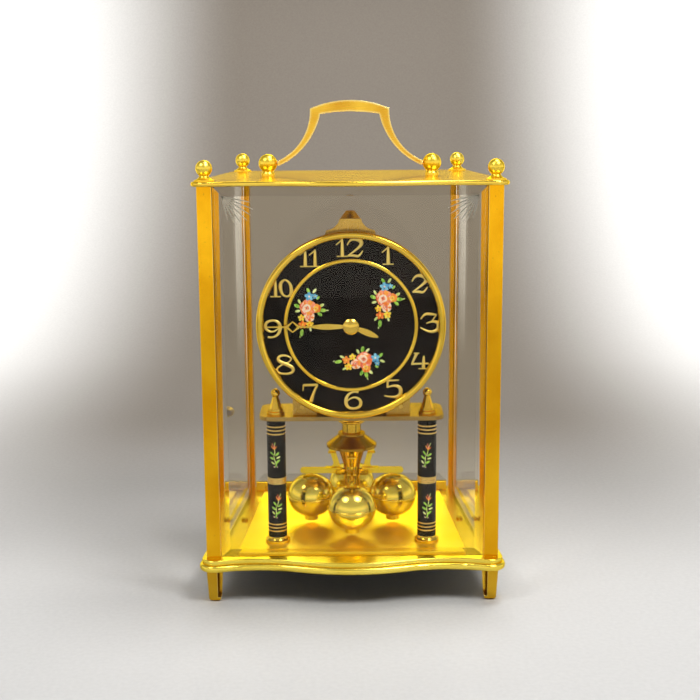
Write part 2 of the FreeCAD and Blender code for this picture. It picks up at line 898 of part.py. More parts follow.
def handle_ball(way):
    ball = ball_top(dim.handle_ball_radius, dim.handle_collar_radius * 0.8, dim.handle_ball_rise)
    body = turned("handle_ball", [
        (0, 0),
        (dim.handle_collar_radius, 0),
        (dim.handle_collar_radius, dim.handle_collar_height * 0.6),
        *ball,
    ])
    place(body, dim.handle_ball_x * way, dim.handle_y, roof)
    bore = rod(
        dim.handle_pin_radius + dim.handle_pin_fit, dim.handle_ball_radius,
        (pin_end + dim.handle_pin_fit * 2) * way, dim.handle_y, handle_z, (Vector(0, 1, 0), -90 * way),
    )
    return cut(body, [bore], "bored_ball")


group([handle_ball(way) for way in (-1, 1)], "handle_balls")


# Swing handle: a flat bar bent to a bow, with a pin at each end.

end_half = dim.handle_end_width / 2
handle_bar = new_body("handle_bar")
bow = sketch_in(handle_bar, "XZ_Plane", -dim.handle_depth / 2)
crown = arc_radius(dim.handle_shoulder_x * 2, dim.handle_crown_rise - dim.handle_shoulder_rise)
grip = arc_radius(dim.handle_grip_x * 2, dim.handle_grip_crown - dim.handle_grip_rise)
draw_loop(bow, [
    (dim.handle_grip_x, dim.handle_grip_rise, grip, RIGHT_TURN),
    (handle_end_x, -end_half, dim.handle_inner_sweep, LEFT_TURN),
    (handle_end_x, end_half),
    (dim.handle_shoulder_x, dim.handle_shoulder_rise, dim.handle_outer_sweep, RIGHT_TURN),
    (-dim.handle_shoulder_x, dim.handle_shoulder_rise, crown, LEFT_TURN),
    (-handle_end_x, end_half, dim.handle_outer_sweep, RIGHT_TURN),
    (-handle_end_x, -end_half),
    (-dim.handle_grip_x, dim.handle_grip_rise, dim.handle_inner_sweep, LEFT_TURN),
])
pad(handle_bar, bow, dim.handle_depth)
place(handle_bar, 0, dim.handle_y, handle_z)
handle_pins = [
    rod(
        dim.handle_pin_radius, pin_end - handle_end_x,
        handle_end_x * way, dim.handle_y, handle_z, (Vector(0, 1, 0), 90 * way),
    )
    for way in (-1, 1)
]
keep(fused([handle_bar] + handle_pins, "handle"), "handle")


# Floor platform: a plain plate, narrower at the back as the case is.

platform = flat_plate("platform", mirrored([
    (dim.platform_front_x, dim.platform_front_y),
    (dim.platform_back_x, dim.platform_back_y),
]), dim.platform_thickness)
keep(place(platform, z=base_top), "floor_platform")


# Columns: turned feet, black shafts and finials whose studs clamp the bridge to the shafts.

column_sides = [("left", -dim.column_x), ("right", dim.column_x)]
stud_depth = dim.column_stud_length - dim.bridge_thickness


def column_foot():
    step = dim.column_foot_height * 0.45
    cove = dim.column_foot_height - step
    return turned("column_foot", [
        (0, 0),
        (dim.column_foot_radius, 0),
        (dim.column_foot_radius, step),
        (dim.column_radius, dim.column_foot_height, hypotenuse(cove, cove), RIGHT_TURN),
        (0, dim.column_foot_height),
    ])


def column_shaft():
    bore = dim.column_stud_radius + dim.column_stud_fit
    floor = dim.column_height - stud_depth - dim.column_stud_fit
    return turned("column", [
        (0, 0),
        (dim.column_radius, 0),
        (dim.column_radius, dim.column_height),
        (bore, dim.column_height),
        (bore, floor),
        (0, floor),
    ])


def column_finial():
    bead_low = dim.column_flange_height + dim.column_groove_height
    cone_low = bead_low + dim.column_bead_height
    cone_high = cone_low + dim.column_cone_height
    tip, radius = dim.column_cone_tip, dim.column_ball_radius
    ball = ball_top(radius, tip, cone_high + square_root(radius * radius - tip * tip))
    return turned("column_finial", [
        (0, -dim.column_stud_length),
        (dim.column_stud_radius, -dim.column_stud_length),
        (dim.column_stud_radius, 0),
        (dim.column_flange_radius, 0),
        (dim.column_flange_radius, dim.column_flange_height),
        (dim.column_groove_radius, dim.column_flange_height),
        (dim.column_groove_radius, bead_low),
        (dim.column_bead_radius, bead_low),
        (dim.column_bead_radius, cone_low),
        (dim.column_cone_base, cone_low),
        *ball,
    ])


for name, x in column_sides:
    keep(place(column_shaft(), x, dim.column_y, column_low), f"column_{name}")
group([place(column_foot(), x, dim.column_y, platform_top) for _, x in column_sides], "column_feet")
group([place(column_finial(), x, dim.column_y, bridge_top) for _, x in column_sides], "column_finials")


# Bridge: the plate on the columns that the movement stands on.

def rounded_strip(half, front, back, corner):
    return mirrored([
        (half - corner, front),
        (half, front + corner, corner, LEFT_TURN),
        (half, back - corner),
        (half - corner, back, corner, LEFT_TURN),
    ])


bridge = flat_plate(
    "bridge",
    rounded_strip(dim.bridge_x, dim.bridge_front_y, dim.bridge_back_y, dim.bridge_corner_radius),
    dim.bridge_thickness,
    [(x, dim.column_y, dim.column_stud_radius + dim.column_stud_fit) for _, x in column_sides],
)
keep(place(bridge, z=bridge_under), "movement_bridge")


# Where the arbors stand, as (x, rise) from the center arbor, so that each pair of gears meshes.

def mesh_distance(wheel_teeth, leaves, module):
    return (wheel_teeth + leaves) * module / 2


barrel_spot = (dim.barrel_x, -dim.barrel_drop)
barrel_reach = mesh_distance(dim.barrel_teeth, dim.pinion_leaves, dim.barrel_module)
second_spot = (
    barrel_spot[0] + barrel_reach * cosine(dim.second_angle),
    barrel_spot[1] + barrel_reach * sine(dim.second_angle),
)
second_reach = mesh_distance(dim.second_teeth, dim.pinion_leaves, dim.upper_module)
third_reach = mesh_distance(dim.third_teeth, dim.pinion_leaves, dim.upper_module)
second_far = hypotenuse(*second_spot)
third_along = (third_reach * third_reach - second_reach * second_reach) / (second_far * 2) + second_far / 2
third_aside = square_root(third_reach * third_reach - third_along * third_along)
toward_x, toward_z = second_spot[0] / second_far, second_spot[1] / second_far
third_spot = (
    toward_x * third_along + toward_z * third_aside,
    toward_z * third_along - toward_x * third_aside,
)
center_spot = (sized(0), sized(0))
center_reach = mesh_distance(dim.center_teeth, dim.pinion_leaves, dim.center_module)
fourth_reach = mesh_distance(dim.fourth_teeth, dim.pinion_leaves, dim.fourth_module)
fourth_rise = (
    (center_reach * center_reach - fourth_reach * fourth_reach) / (dim.escape_rise * 2) + dim.escape_rise / 2
)
fourth_spot = (square_root(center_reach * center_reach - fourth_rise * fourth_rise), fourth_rise)
escape_spot = (sized(0), dim.escape_rise)
minute_reach = mesh_distance(dim.minute_teeth, dim.cannon_teeth, dim.motion_module)
minute_spot = (minute_reach * cosine(dim.minute_wheel_angle), minute_reach * sine(dim.minute_wheel_angle))
hour_module = minute_reach * 2 / (dim.hour_teeth + dim.pinion_leaves)
click_spot = (
    barrel_spot[0] + dim.click_radius * cosine(dim.click_angle),
    barrel_spot[1] + dim.click_radius * sine(dim.click_angle),
)


# Movement plates: two pierced plates on feet, the front one with a crest above the dial.

inner_y = dim.front_plate_y + dim.plate_thickness
back_plate_y = inner_y + dim.plate_gap
rear_y = back_plate_y + dim.plate_thickness
pillar_spots = [
    (x * way, rise)
    for x, rise in ((dim.pillar_low_x, -dim.pillar_low_drop), (dim.pillar_high_x, dim.pillar_high_rise))
    for way in (-1, 1)
]


def plate_outline(top_corners):
    foot_sole = -dim.center_rise
    return mirrored([
        (dim.plate_foot_x, foot_sole + dim.plate_foot_height),
        (dim.plate_foot_x, foot_sole),
        (dim.plate_x, foot_sole),
        (dim.plate_x, dim.plate_shoulder_rise),
        *top_corners,
    ])


def plate_holes(barrel_radius, center_radius, anchor_radius):
    small = dim.arbor_pivot_radius + dim.pivot_hole_fit
    holes = [(*spot, small) for spot in (second_spot, third_spot, fourth_spot, escape_spot)]
    holes.append((*barrel_spot, barrel_radius + dim.winding_fit))
    holes.append((0, 0, center_radius + dim.pivot_hole_fit))
    holes.append((0, dim.anchor_rise, anchor_radius + dim.pivot_hole_fit))
    shank = dim.pillar_shank_radius + dim.pivot_hole_fit
    return holes + [(*spot, shank) for spot in pillar_spots]


front = upright_plate("front", plate_outline([
    (dim.crest_base_x, dim.crest_base_rise, dim.shoulder_sweep, RIGHT_TURN),
    (dim.crest_top_x, dim.crest_top_rise, dim.crest_sweep, RIGHT_TURN),
]), dim.plate_thickness, plate_holes(
    dim.winding_pivot_radius, dim.center_front_radius, dim.arbor_pivot_radius,
))
place(front, 0, dim.front_plate_y, center_z)
minute_stud_length = dim.dial_y + dim.dial_thickness + dim.stud_gap
minute_stud = rod(
    dim.motion_stud_radius, dim.front_plate_y - minute_stud_length,
    minute_spot[0], minute_stud_length, center_z + minute_spot[1], ALONG_Y,
)
keep(fused([front, minute_stud], "front_plate"), "front_plate")

back = upright_plate("back", plate_outline([
    (dim.back_top_x, dim.back_top_rise, dim.shoulder_sweep, RIGHT_TURN),
]), dim.plate_thickness, plate_holes(
    dim.winding_radius, dim.arbor_pivot_radius, dim.arbor_radius,
))
place(back, 0, back_plate_y, center_z)
click_stud = rod(
    dim.click_stud_radius, dim.ratchet_gap + dim.ratchet_thickness,
    click_spot[0], rear_y, center_z + click_spot[1], ALONG_Y,
)
keep(fused([back, click_stud], "back_plate"), "back_plate")


def pillar(x, rise):
    """Turned pillar between the plates, with a shank through each of them."""
    body = turned("pillar", [
        (0, 0),
        (dim.pillar_shank_radius, 0),
        (dim.pillar_shank_radius, dim.plate_thickness),
        (dim.pillar_radius, dim.plate_thickness),
        (dim.pillar_radius, dim.plate_thickness + dim.plate_gap),
        (dim.pillar_shank_radius, dim.plate_thickness + dim.plate_gap),
        (dim.pillar_shank_radius, dim.plate_thickness * 2 + dim.plate_gap),
        (0, dim.plate_thickness * 2 + dim.plate_gap),
    ])
    return place(body, x, dim.front_plate_y, center_z + rise, ALONG_Y)


group([pillar(*spot) for spot in pillar_spots], "plate_pillars")


# Dial: a thin disc on three feet, a rounded outer bezel and a fine inner ring.

dial_disc = turned("dial", [
    (dim.dial_hole_radius, 0),
    (dim.dial_radius, 0),
    (dim.dial_radius, dim.dial_thickness),
    (dim.dial_hole_radius, dim.dial_thickness),
])
place(dial_disc, 0, dim.dial_y, center_z, ALONG_Y)
dial_back = dim.dial_y + dim.dial_thickness
dial_feet = [
    rod(dim.dial_foot_radius, dim.front_plate_y - dial_back, x, dial_back, center_z + rise, ALONG_Y)
    for x, rise in (
        (-dim.dial_foot_x, -dim.dial_foot_drop),
        (dim.dial_foot_x, -dim.dial_foot_drop),
        (0, dim.dial_foot_rise),
    )
]
keep(fused([dial_disc] + dial_feet, "dial_plate"), "dial_plate")


def dial_trim(outer, inner, depth):
    """Ring of half-round section that stands on the dial."""
    shoulder = depth * 0.45
    body = turned("trim", [
        (inner, depth),
        (inner, shoulder),
        (outer, shoulder, arc_radius(outer - inner, shoulder), LEFT_TURN),
        (outer, depth),
    ])
    return place(body, 0, dim.dial_y - depth, center_z, ALONG_Y)


keep(dial_trim(dim.bezel_outer_radius, dim.bezel_inner_radius, dim.bezel_depth), "dial_bezel")
keep(dial_trim(dim.ring_outer_radius, dim.ring_inner_radius, dim.ring_depth), "dial_ring")


# Hands: pierced brass sheet on round bosses, held by a domed nut.

hour_hand_y = dim.dial_y - dim.hour_hand_gap - dim.hand_thickness
minute_hand_y = dim.dial_y - dim.minute_hand_gap - dim.hand_thickness
FACING_FRONT = Vector(0, 1, 0)


def hand(outline, boss_radius, hole_radius, windows=()):
    body = upright_plate("hand", outline, dim.hand_thickness)
    for window in windows:
        draw_loop(body.Tip.Profile[0], window)
    boss = rod(boss_radius, dim.hand_thickness, turn=ALONG_Y)
    hole = rod(hole_radius, dim.hand_thickness, turn=ALONG_Y)
    return cut(fused([body, boss]), [hole], "hand")


leaf = dim.hour_hand_width / 2
leaf_low = dim.hour_boss_radius * 0.7
leaf_mid = dim.hour_hand_length * 0.5
leaf_sweep = dim.hour_hand_length
hour_hand = hand(mirrored([
    (leaf * 0.4, leaf_low),
    (leaf, leaf_mid, leaf_sweep, LEFT_TURN),
    (dim.hand_tip, dim.hour_hand_length, leaf_sweep, LEFT_TURN),
]), dim.hour_boss_radius, dim.hour_pipe_radius + dim.seat_fit)
place(hour_hand, 0, hour_hand_y, center_z, (FACING_FRONT, dim.hour_hand_angle))
keep(hour_hand, "hour_hand")

stem = dim.minute_hand_width / 2
diamond_half = dim.minute_diamond_length / 2
diamond_low = dim.minute_diamond_at - diamond_half
diamond_high = dim.minute_diamond_at + diamond_half
diamond_wide = dim.minute_diamond_width / 2
window_half = diamond_half - dim.minute_diamond_rim * 2
window_wide = diamond_wide - dim.minute_diamond_rim
minute_leaf_sweep = dim.minute_leaf_length * 1.5
minute_hand = hand(
    mirrored([
        (stem, dim.minute_boss_radius * 0.7),
        (dim.minute_leaf_width / 2, dim.minute_leaf_length * 0.45, minute_leaf_sweep, LEFT_TURN),
        (stem, dim.minute_leaf_length, minute_leaf_sweep, LEFT_TURN),
        (stem, diamond_low),
        (diamond_wide, dim.minute_diamond_at),
        (stem, diamond_high),
        (dim.hand_tip, dim.minute_hand_length),
    ]),
    dim.minute_boss_radius,
    dim.cannon_pipe_radius + dim.seat_fit,
    [[
        (0, dim.minute_diamond_at - window_half),
        (window_wide, dim.minute_diamond_at),
        (0, dim.minute_diamond_at + window_half),
        (-window_wide, dim.minute_diamond_at),
    ]],
)
place(minute_hand, 0, minute_hand_y, center_z, (FACING_FRONT, dim.minute_hand_angle))
keep(minute_hand, "minute_hand")

nut_bore = dim.center_front_radius + dim.seat_fit
nut_shoulder = dim.hand_nut_height * 0.7
nut_floor = dim.hand_nut_height - dim.nut_bore_depth
nut = turned("nut", [
    (0, 0),
    (dim.hand_nut_radius, nut_shoulder, arc_radius(dim.hand_nut_radius * 2, nut_shoulder), LEFT_TURN),
    (dim.hand_nut_radius, dim.hand_nut_height),
    (nut_bore, dim.hand_nut_height),
    (nut_bore, nut_floor),
    (0, nut_floor),
])
keep(place(nut, 0, minute_hand_y - dim.hand_nut_height, center_z, ALONG_Y), "hand_nut")


# Gears: straight-flanked teeth with room to run, in planes across the clock.

BACK = Vector(0, 1, 0)
ORIGIN = Vector(0, 0, 0)


def toothed_disc(points, thickness):
    ring = [Vector(radius * math.cos(angle), 0, radius * math.sin(angle)) for radius, angle in points]
    face = Part.Face(Part.makePolygon(ring + ring[:1]))
    return face.extrude(BACK * thickness)


def spur_gear(teeth, module, thickness, root_share, facing, in_gap):
    """Gear with a tooth, or a gap, on the line that faces its partner."""
    count = round(teeth.value)
    pitch = 2 * math.pi / count
    middle = count * module.value / 2
    tip = middle + dim.tooth_addendum.value * module.value
    root = middle - dim.tooth_dedendum.value * module.value
    root_half = root_share.value * pitch / 2
    tip_half = dim.tooth_tip_share.value * pitch / 2
    points = []
    for number in range(count):
        angle = facing + (number + 0.5 * in_gap) * pitch
        points += [(root, angle - root_half), (tip, angle - tip_half),
                   (tip, angle + tip_half), (root, angle + root_half)]
    return toothed_disc(points, thickness.value)


def crossed_out(disc, rim, thickness):
    """Wheel with its web cut away to four arms."""
    windows = Part.makeCylinder(rim, thickness, ORIGIN, BACK)
    windows = windows.cut(Part.makeCylinder(dim.wheel_hub_radius.value, thickness, ORIGIN, BACK))
    half = dim.spoke_width.value / 2
    arm = Part.makeBox(2 * rim, thickness, 2 * half, Vector(-rim, 0, -half))
    turned_arm = arm.copy()
    turned_arm.rotate(ORIGIN, BACK, 90)
    return disc.cut(windows.cut(arm).cut(turned_arm))


def facing(spot, partner):
    return math.atan2(partner[1].value - spot[1].value, partner[0].value - spot[0].value)


def wheel_shape(teeth, module, thickness, spot, partner, crossing=True):
    disc = spur_gear(teeth, module, thickness, dim.tooth_root_share, facing(spot, partner), 0)
    if not crossing:
        return disc
    rim = teeth.value * module.value / 2 - dim.tooth_dedendum.value * module.value - dim.wheel_rim.value
    return crossed_out(disc, rim, thickness.value)


def pinion_shape(teeth, module, length, spot, partner):
    return spur_gear(teeth, module, length, dim.leaf_root_share, facing(spot, partner), 1)


def across_clock(name, shape, spot, y):
    feature = doc.addObject("Part::Feature", name)
    feature.Shape = shape
    return place(feature, spot[0], y, center_z + spot[1])


def arbor(spot):
    """Arbor between the plates, with a thin pivot in each of them."""
    z = center_z + spot[1]
    body_length = dim.plate_gap - dim.arbor_shake * 2
    pivot_length = dim.plate_gap + dim.plate_thickness * 2
    return [
        rod(dim.arbor_radius, body_length, spot[0], inner_y + dim.arbor_shake, z, ALONG_Y),
        rod(dim.arbor_pivot_radius, pivot_length, spot[0], dim.front_plate_y, z, ALONG_Y),
    ]


def pinion_level(wheel_level, wheel_thickness):
    return inner_y + wheel_level + (wheel_thickness - dim.pinion_length) / 2


def going_wheel(label, spot, wheel, wheel_level, pinion, pinion_y):
    pieces = arbor(spot)
    pieces.append(across_clock("wheel", wheel, spot, inner_y + wheel_level))
    pieces.append(across_clock("pinion", pinion, spot, pinion_y))
    keep(fused(pieces, label), label)


going_wheel(
    "second_wheel", second_spot,
    wheel_shape(dim.second_teeth, dim.upper_module, dim.wheel_thickness, second_spot, third_spot),
    dim.second_level,
    pinion_shape(dim.pinion_leaves, dim.barrel_module, dim.pinion_length, second_spot, barrel_spot),
    pinion_level(dim.barrel_level, dim.great_wheel_thickness),
)
going_wheel(
    "third_wheel", third_spot,
    wheel_shape(dim.third_teeth, dim.upper_module, dim.wheel_thickness, third_spot, center_spot),
    dim.third_level,
    pinion_shape(dim.pinion_leaves, dim.upper_module, dim.pinion_length, third_spot, second_spot),
    pinion_level(dim.second_level, dim.wheel_thickness),
)
going_wheel(
    "fourth_wheel", fourth_spot,
    wheel_shape(dim.fourth_teeth, dim.fourth_module, dim.wheel_thickness, fourth_spot, escape_spot),
    dim.fourth_level,
    pinion_shape(dim.pinion_leaves, dim.center_module, dim.pinion_length, fourth_spot, center_spot),
    pinion_level(dim.center_level, dim.wheel_thickness),
)

# Escape wheel: pointed teeth that lean forwards.
escape_count = round(dim.escape_teeth.value)
escape_points = []
for number in range(escape_count):
    angle = 2 * math.pi * number / escape_count
    tooth = 2 * math.pi / escape_count
    escape_points += [
        (dim.escape_root_radius.value, angle),
        (dim.escape_tip_radius.value, angle + tooth * 0.62),
        (dim.escape_tip_radius.value, angle + tooth * 0.72),
        (dim.escape_root_radius.value, angle + tooth * 0.7),
    ]
escape_disc = crossed_out(
    toothed_disc(escape_points, dim.wheel_thickness.value),
    dim.escape_root_radius.value - dim.wheel_rim.value,
    dim.wheel_thickness.value,
)
going_wheel(
    "escape_wheel", escape_spot, escape_disc, dim.escape_level,
    pinion_shape(dim.pinion_leaves, dim.fourth_module, dim.pinion_length, escape_spot, fourth_spot),
    pinion_level(dim.fourth_level, dim.wheel_thickness),
)


# Center wheel: its arbor reaches forward through the front plate to the hand nut.

arbor_tip_y = minute_hand_y - dim.nut_bore_depth + dim.seat_fit * 2
center_arbor = [
    rod(dim.center_front_radius, inner_y + dim.plate_gap - dim.arbor_shake - arbor_tip_y,
        0, arbor_tip_y, center_z, ALONG_Y),
    rod(dim.arbor_pivot_radius, dim.plate_gap + dim.plate_thickness, 0, inner_y, center_z, ALONG_Y),
    across_clock(
        "wheel",
        wheel_shape(dim.center_teeth, dim.center_module, dim.wheel_thickness, center_spot, fourth_spot),
        center_spot, inner_y + dim.center_level,
    ),
    across_clock(
        "pinion",
        pinion_shape(dim.pinion_leaves, dim.upper_module, dim.pinion_length, center_spot, third_spot),
        center_spot, pinion_level(dim.third_level, dim.wheel_thickness),
    ),
]
keep(fused(center_arbor, "center_wheel"), "center_wheel")


# Motion work: cannon pinion on the center arbor, minute wheel on its stud, hour wheel on the cannon.

minute_wheel_y = dim.front_plate_y - dim.minute_wheel_gap - dim.motion_wheel_thickness
hour_wheel_y = dim.front_plate_y - dim.hour_wheel_gap - dim.motion_wheel_thickness
cannon_y = minute_wheel_y + (dim.motion_wheel_thickness - dim.cannon_length) / 2
cannon_end = cannon_y + dim.cannon_length

cannon = fused([
    rod(dim.cannon_pipe_radius, cannon_end - minute_hand_y, 0, minute_hand_y, center_z, ALONG_Y),
    across_clock(
        "pinion",
        pinion_shape(dim.cannon_teeth, dim.motion_module, dim.cannon_length, center_spot, minute_spot),
        center_spot, cannon_y,
    ),
], "cannon")
cannon_bore = rod(
    dim.center_front_radius + dim.seat_fit, cannon_end - minute_hand_y, 0, minute_hand_y, center_z, ALONG_Y,
)
keep(cut(cannon, [cannon_bore], "cannon_pinion"), "cannon_pinion")

hour_pipe_length = hour_wheel_y + dim.motion_wheel_thickness - hour_hand_y
hour_gear = fused([
    rod(dim.hour_pipe_radius, hour_pipe_length, 0, hour_hand_y, center_z, ALONG_Y),
    across_clock(
        "wheel",
        wheel_shape(
            dim.hour_teeth, hour_module, dim.motion_wheel_thickness, center_spot, minute_spot, crossing=False,
        ),
        center_spot, hour_wheel_y,
    ),
], "hour_gear")
hour_bore = rod(
    dim.cannon_pipe_radius + dim.pipe_fit, hour_pipe_length, 0, hour_hand_y, center_z, ALONG_Y,
)
keep(cut(hour_gear, [hour_bore], "hour_wheel"), "hour_wheel")

minute_pinion_y = hour_wheel_y - dim.stud_gap
minute_pinion_length = minute_wheel_y - minute_pinion_y
minute_gear = fused([
    across_clock(
        "wheel",
        wheel_shape(
            dim.minute_teeth, dim.motion_module, dim.motion_wheel_thickness, minute_spot, center_spot,
        ),
        minute_spot, minute_wheel_y,
    ),
    across_clock(
        "pinion",
        pinion_shape(dim.pinion_leaves, hour_module, minute_pinion_length, minute_spot, center_spot),
        minute_spot, minute_pinion_y,
    ),
], "minute_gear")
minute_bore = rod(
    dim.motion_stud_radius + dim.pipe_fit, minute_pinion_length + dim.motion_wheel_thickness,
    minute_spot[0], minute_pinion_y, center_z + minute_spot[1], ALONG_Y,
)
keep(cut(minute_gear, [minute_bore], "minute_wheel"), "minute_wheel")


# Barrel: a drum with the great wheel on its front, closed by a cap, with the mainspring inside.

barrel_y = inner_y + dim.barrel_level
barrel_z = center_z + barrel_spot[1]
drum_bore = dim.winding_radius + dim.winding_fit
drum_inside = dim.drum_radius - dim.drum_wall
drum = turned("drum", [
    (drum_bore, 0),
    (dim.drum_radius, 0),
    (dim.drum_radius, dim.drum_depth),
    (drum_inside, dim.drum_depth),
    (drum_inside, dim.great_wheel_thickness),
    (drum_bore, dim.great_wheel_thickness),
])
place(drum, barrel_spot[0], barrel_y, barrel_z, ALONG_Y)
great_ring = wheel_shape(
    dim.barrel_teeth, dim.barrel_module, dim.great_wheel_thickness, barrel_spot, second_spot, crossing=False,
).cut(Part.makeCylinder(drum_inside.value, dim.great_wheel_thickness.value, ORIGIN, BACK))
keep(fused([drum, across_clock("great_wheel", great_ring, barrel_spot, barrel_y)]), "mainspring_barrel")

cap = turned("cap", [
    (drum_bore, 0),
    (dim.drum_radius, 0),
    (dim.drum_radius, dim.drum_cap),
    (drum_bore, dim.drum_cap),
])
keep(place(cap, barrel_spot[0], barrel_y + dim.drum_depth, barrel_z, ALONG_Y), "barrel_cap")


def spiral_edges(radius, pitch, turns):
    """Flat spiral of half circles about two centers, from the inside out."""
    edges = []
    for number in range(2 * turns):
        way = 1 if number % 2 else -1
        center = Vector(way * pitch / 4, 0, 0)
        reach = radius + number * pitch / 2
        points = [center + Vector(x * reach, 0, z * reach) for x, z in ((-way, 0), (0, -way), (way, 0))]
        edges.append(Part.Arc(*points).toShape())
    return edges


spring_turns = round(dim.spring_turns.value)
strip_start = dim.spring_core_radius + dim.spring_strip
spring_pitch = ((drum_inside - dim.spring_room - strip_start) / (spring_turns - 0.25)).value
strip_inner = spiral_edges(dim.spring_core_radius.value, spring_pitch, spring_turns)
strip_outer = spiral_edges(strip_start.value, spring_pitch, spring_turns)
strip_gap = min(
    point.distanceToPoint(other)
    for lower, upper in zip(strip_outer, strip_inner[2:])
    for point in lower.discretize(40)
    for other in upper.discretize(40)
)
print(f"least gap between turns of the mainspring: {strip_gap:.2f} mm")
strip_ends = [
    Part.LineSegment(strip_inner[0].Vertexes[0].Point, strip_outer[0].Vertexes[0].Point).toShape(),
    Part.LineSegment(strip_inner[-1].Vertexes[-1].Point, strip_outer[-1].Vertexes[-1].Point).toShape(),
]
strip_wire = Part.Wire(Part.__sortEdges__(strip_inner + strip_outer + strip_ends))
strip_height = dim.drum_depth - dim.great_wheel_thickness - dim.spring_clearance * 2
strip = Part.Face(strip_wire).extrude(BACK * strip_height.value)
spring_y = barrel_y + dim.great_wheel_thickness + dim.spring_clearance
keep(across_clock("strip", strip, barrel_spot, spring_y), "mainspring")


# Winding work behind the back plate: squared arbor, ratchet wheel and click.

ratchet_y = rear_y + dim.ratchet_gap
ratchet_back = ratchet_y + dim.ratchet_thickness
journal_y = inner_y + dim.arbor_shake
square_half = dim.winding_square / 2
winding = fused([
    rod(dim.winding_pivot_radius, journal_y - dim.front_plate_y, barrel_spot[0], dim.front_plate_y,
        barrel_z, ALONG_Y),
    rod(dim.winding_radius, ratchet_back - journal_y, barrel_spot[0], journal_y, barrel_z, ALONG_Y),
    rod(dim.winding_core_radius, strip_height, barrel_spot[0], spring_y, barrel_z, ALONG_Y),
    box(dim.winding_square, dim.winding_square_length, dim.winding_square,
        barrel_spot[0] - square_half, ratchet_back, barrel_z - square_half),
], "winding")
keep(winding, "winding_arbor")

ratchet_count = round(dim.ratchet_teeth.value)
ratchet_points = []
for number in range(ratchet_count):
    angle = 2 * math.pi * number / ratchet_count
    ratchet_points += [(dim.ratchet_root_radius.value, angle), (dim.ratchet_tip_radius.value, angle)]
ratchet_disc = toothed_disc(ratchet_points, dim.ratchet_thickness.value)
ratchet_bore = Part.makeCylinder(
    dim.winding_radius.value + dim.seat_fit.value, dim.ratchet_thickness.value, ORIGIN, BACK,
)
keep(across_clock("ratchet", ratchet_disc.cut(ratchet_bore), barrel_spot, ratchet_y), "ratchet_wheel")


def polar(radius, angle):
    return (radius * cosine(angle), radius * sine(angle))


click_arm = upright_plate("click_arm", [
    polar(dim.ratchet_tip_radius - dim.click_nose_depth, dim.click_nose_angle),
    polar(dim.ratchet_tip_radius + dim.click_arm_width, dim.click_nose_angle - 7),
    polar(dim.click_radius + dim.click_arm_width * 0.85, dim.click_angle - 6),
    polar(dim.click_radius - dim.click_arm_width * 1.1, dim.click_angle - 2),
    polar(dim.ratchet_tip_radius + dim.click_arm_width / 4, dim.click_nose_angle + 8),
    polar(dim.ratchet_tip_radius + dim.click_arm_width / 7, dim.click_nose_angle + 1.4),
], dim.ratchet_thickness)
place(click_arm, barrel_spot[0], ratchet_y, barrel_z)
click_z = center_z + click_spot[1]
click_boss = rod(dim.click_boss_radius, dim.ratchet_thickness, click_spot[0], ratchet_y, click_z, ALONG_Y)
click_bore = rod(
    dim.click_stud_radius + dim.pipe_fit, dim.ratchet_thickness, click_spot[0], ratchet_y, click_z, ALONG_Y,
)
keep(cut(fused([click_arm, click_boss]), [click_bore], "click"), "click")


# Anchor: pallets over the escape wheel, and a pin behind the back plate that the fork pushes.

pallet_inner = dim.escape_tip_radius + dim.pallet_gap
pallet_outer = pallet_inner + dim.pallet_width
anchor_drop = dim.escape_rise - dim.anchor_rise
anchor_body = upright_plate("anchor_body", mirrored([
    (dim.anchor_arch_x, -dim.anchor_arch_drop),
    (pallet_inner * sine(dim.pallet_span), anchor_drop + pallet_inner * cosine(dim.pallet_span)),
    (pallet_outer * sine(dim.pallet_span), anchor_drop + pallet_outer * cosine(dim.pallet_span)),
    (dim.anchor_shoulder_x, dim.anchor_shoulder_rise),
    (dim.anchor_crown_x, dim.anchor_crown_rise),
]), dim.anchor_thickness)
anchor_z = center_z + dim.anchor_rise
anchor_y = inner_y + dim.escape_level + (dim.wheel_thickness - dim.anchor_thickness) / 2
place(anchor_body, 0, anchor_y, anchor_z)
anchor_tail = dim.anchor_pin_y + dim.anchor_pin_radius
anchor = fused([
    anchor_body,
    rod(dim.arbor_pivot_radius, dim.plate_thickness + dim.arbor_shake, 0, dim.front_plate_y, anchor_z,
        ALONG_Y),
    rod(dim.arbor_radius, anchor_tail - inner_y - dim.arbor_shake, 0, inner_y + dim.arbor_shake, anchor_z,
        ALONG_Y),
    rod(dim.anchor_pin_radius, dim.anchor_pin_length, 0, dim.anchor_pin_y, anchor_z),
], "anchor")
keep(anchor, "anchor")


# Suspension: a bracket on the back plate, the thin wire that hangs from it, and the fork on the wire.

bracket_arm_z = center_z + dim.bracket_arm_rise
bracket_foot_z = bracket_arm_z - dim.bracket_foot_drop
bracket_top = bracket_arm_z + dim.bracket_arm_thickness
block_z = bracket_arm_z - dim.bracket_block_height
knob_round = dim.bracket_knob_round
knob = turned("knob", [
    (0, 0),
    (dim.bracket_knob_radius, 0),
    (dim.bracket_knob_radius, dim.bracket_knob_rim),
    (dim.bracket_knob_top, dim.bracket_knob_height - knob_round),
    (dim.bracket_knob_top - knob_round, dim.bracket_knob_height, knob_round, LEFT_TURN),
    (0, dim.bracket_knob_height),
])
bracket = fused([
    box(dim.bracket_x * 2, dim.bracket_foot_thickness, bracket_top - bracket_foot_z,
        -dim.bracket_x, rear_y, bracket_foot_z),
    box(dim.bracket_x * 2, dim.suspension_y + dim.bracket_overhang - rear_y, dim.bracket_arm_thickness,
        -dim.bracket_x, rear_y, bracket_arm_z),
    rod(dim.bracket_block_radius, dim.bracket_block_height, 0, dim.suspension_y, block_z),
    place(knob, 0, dim.suspension_y, bracket_top),
], "bracket")
keep(bracket, "suspension_bracket")

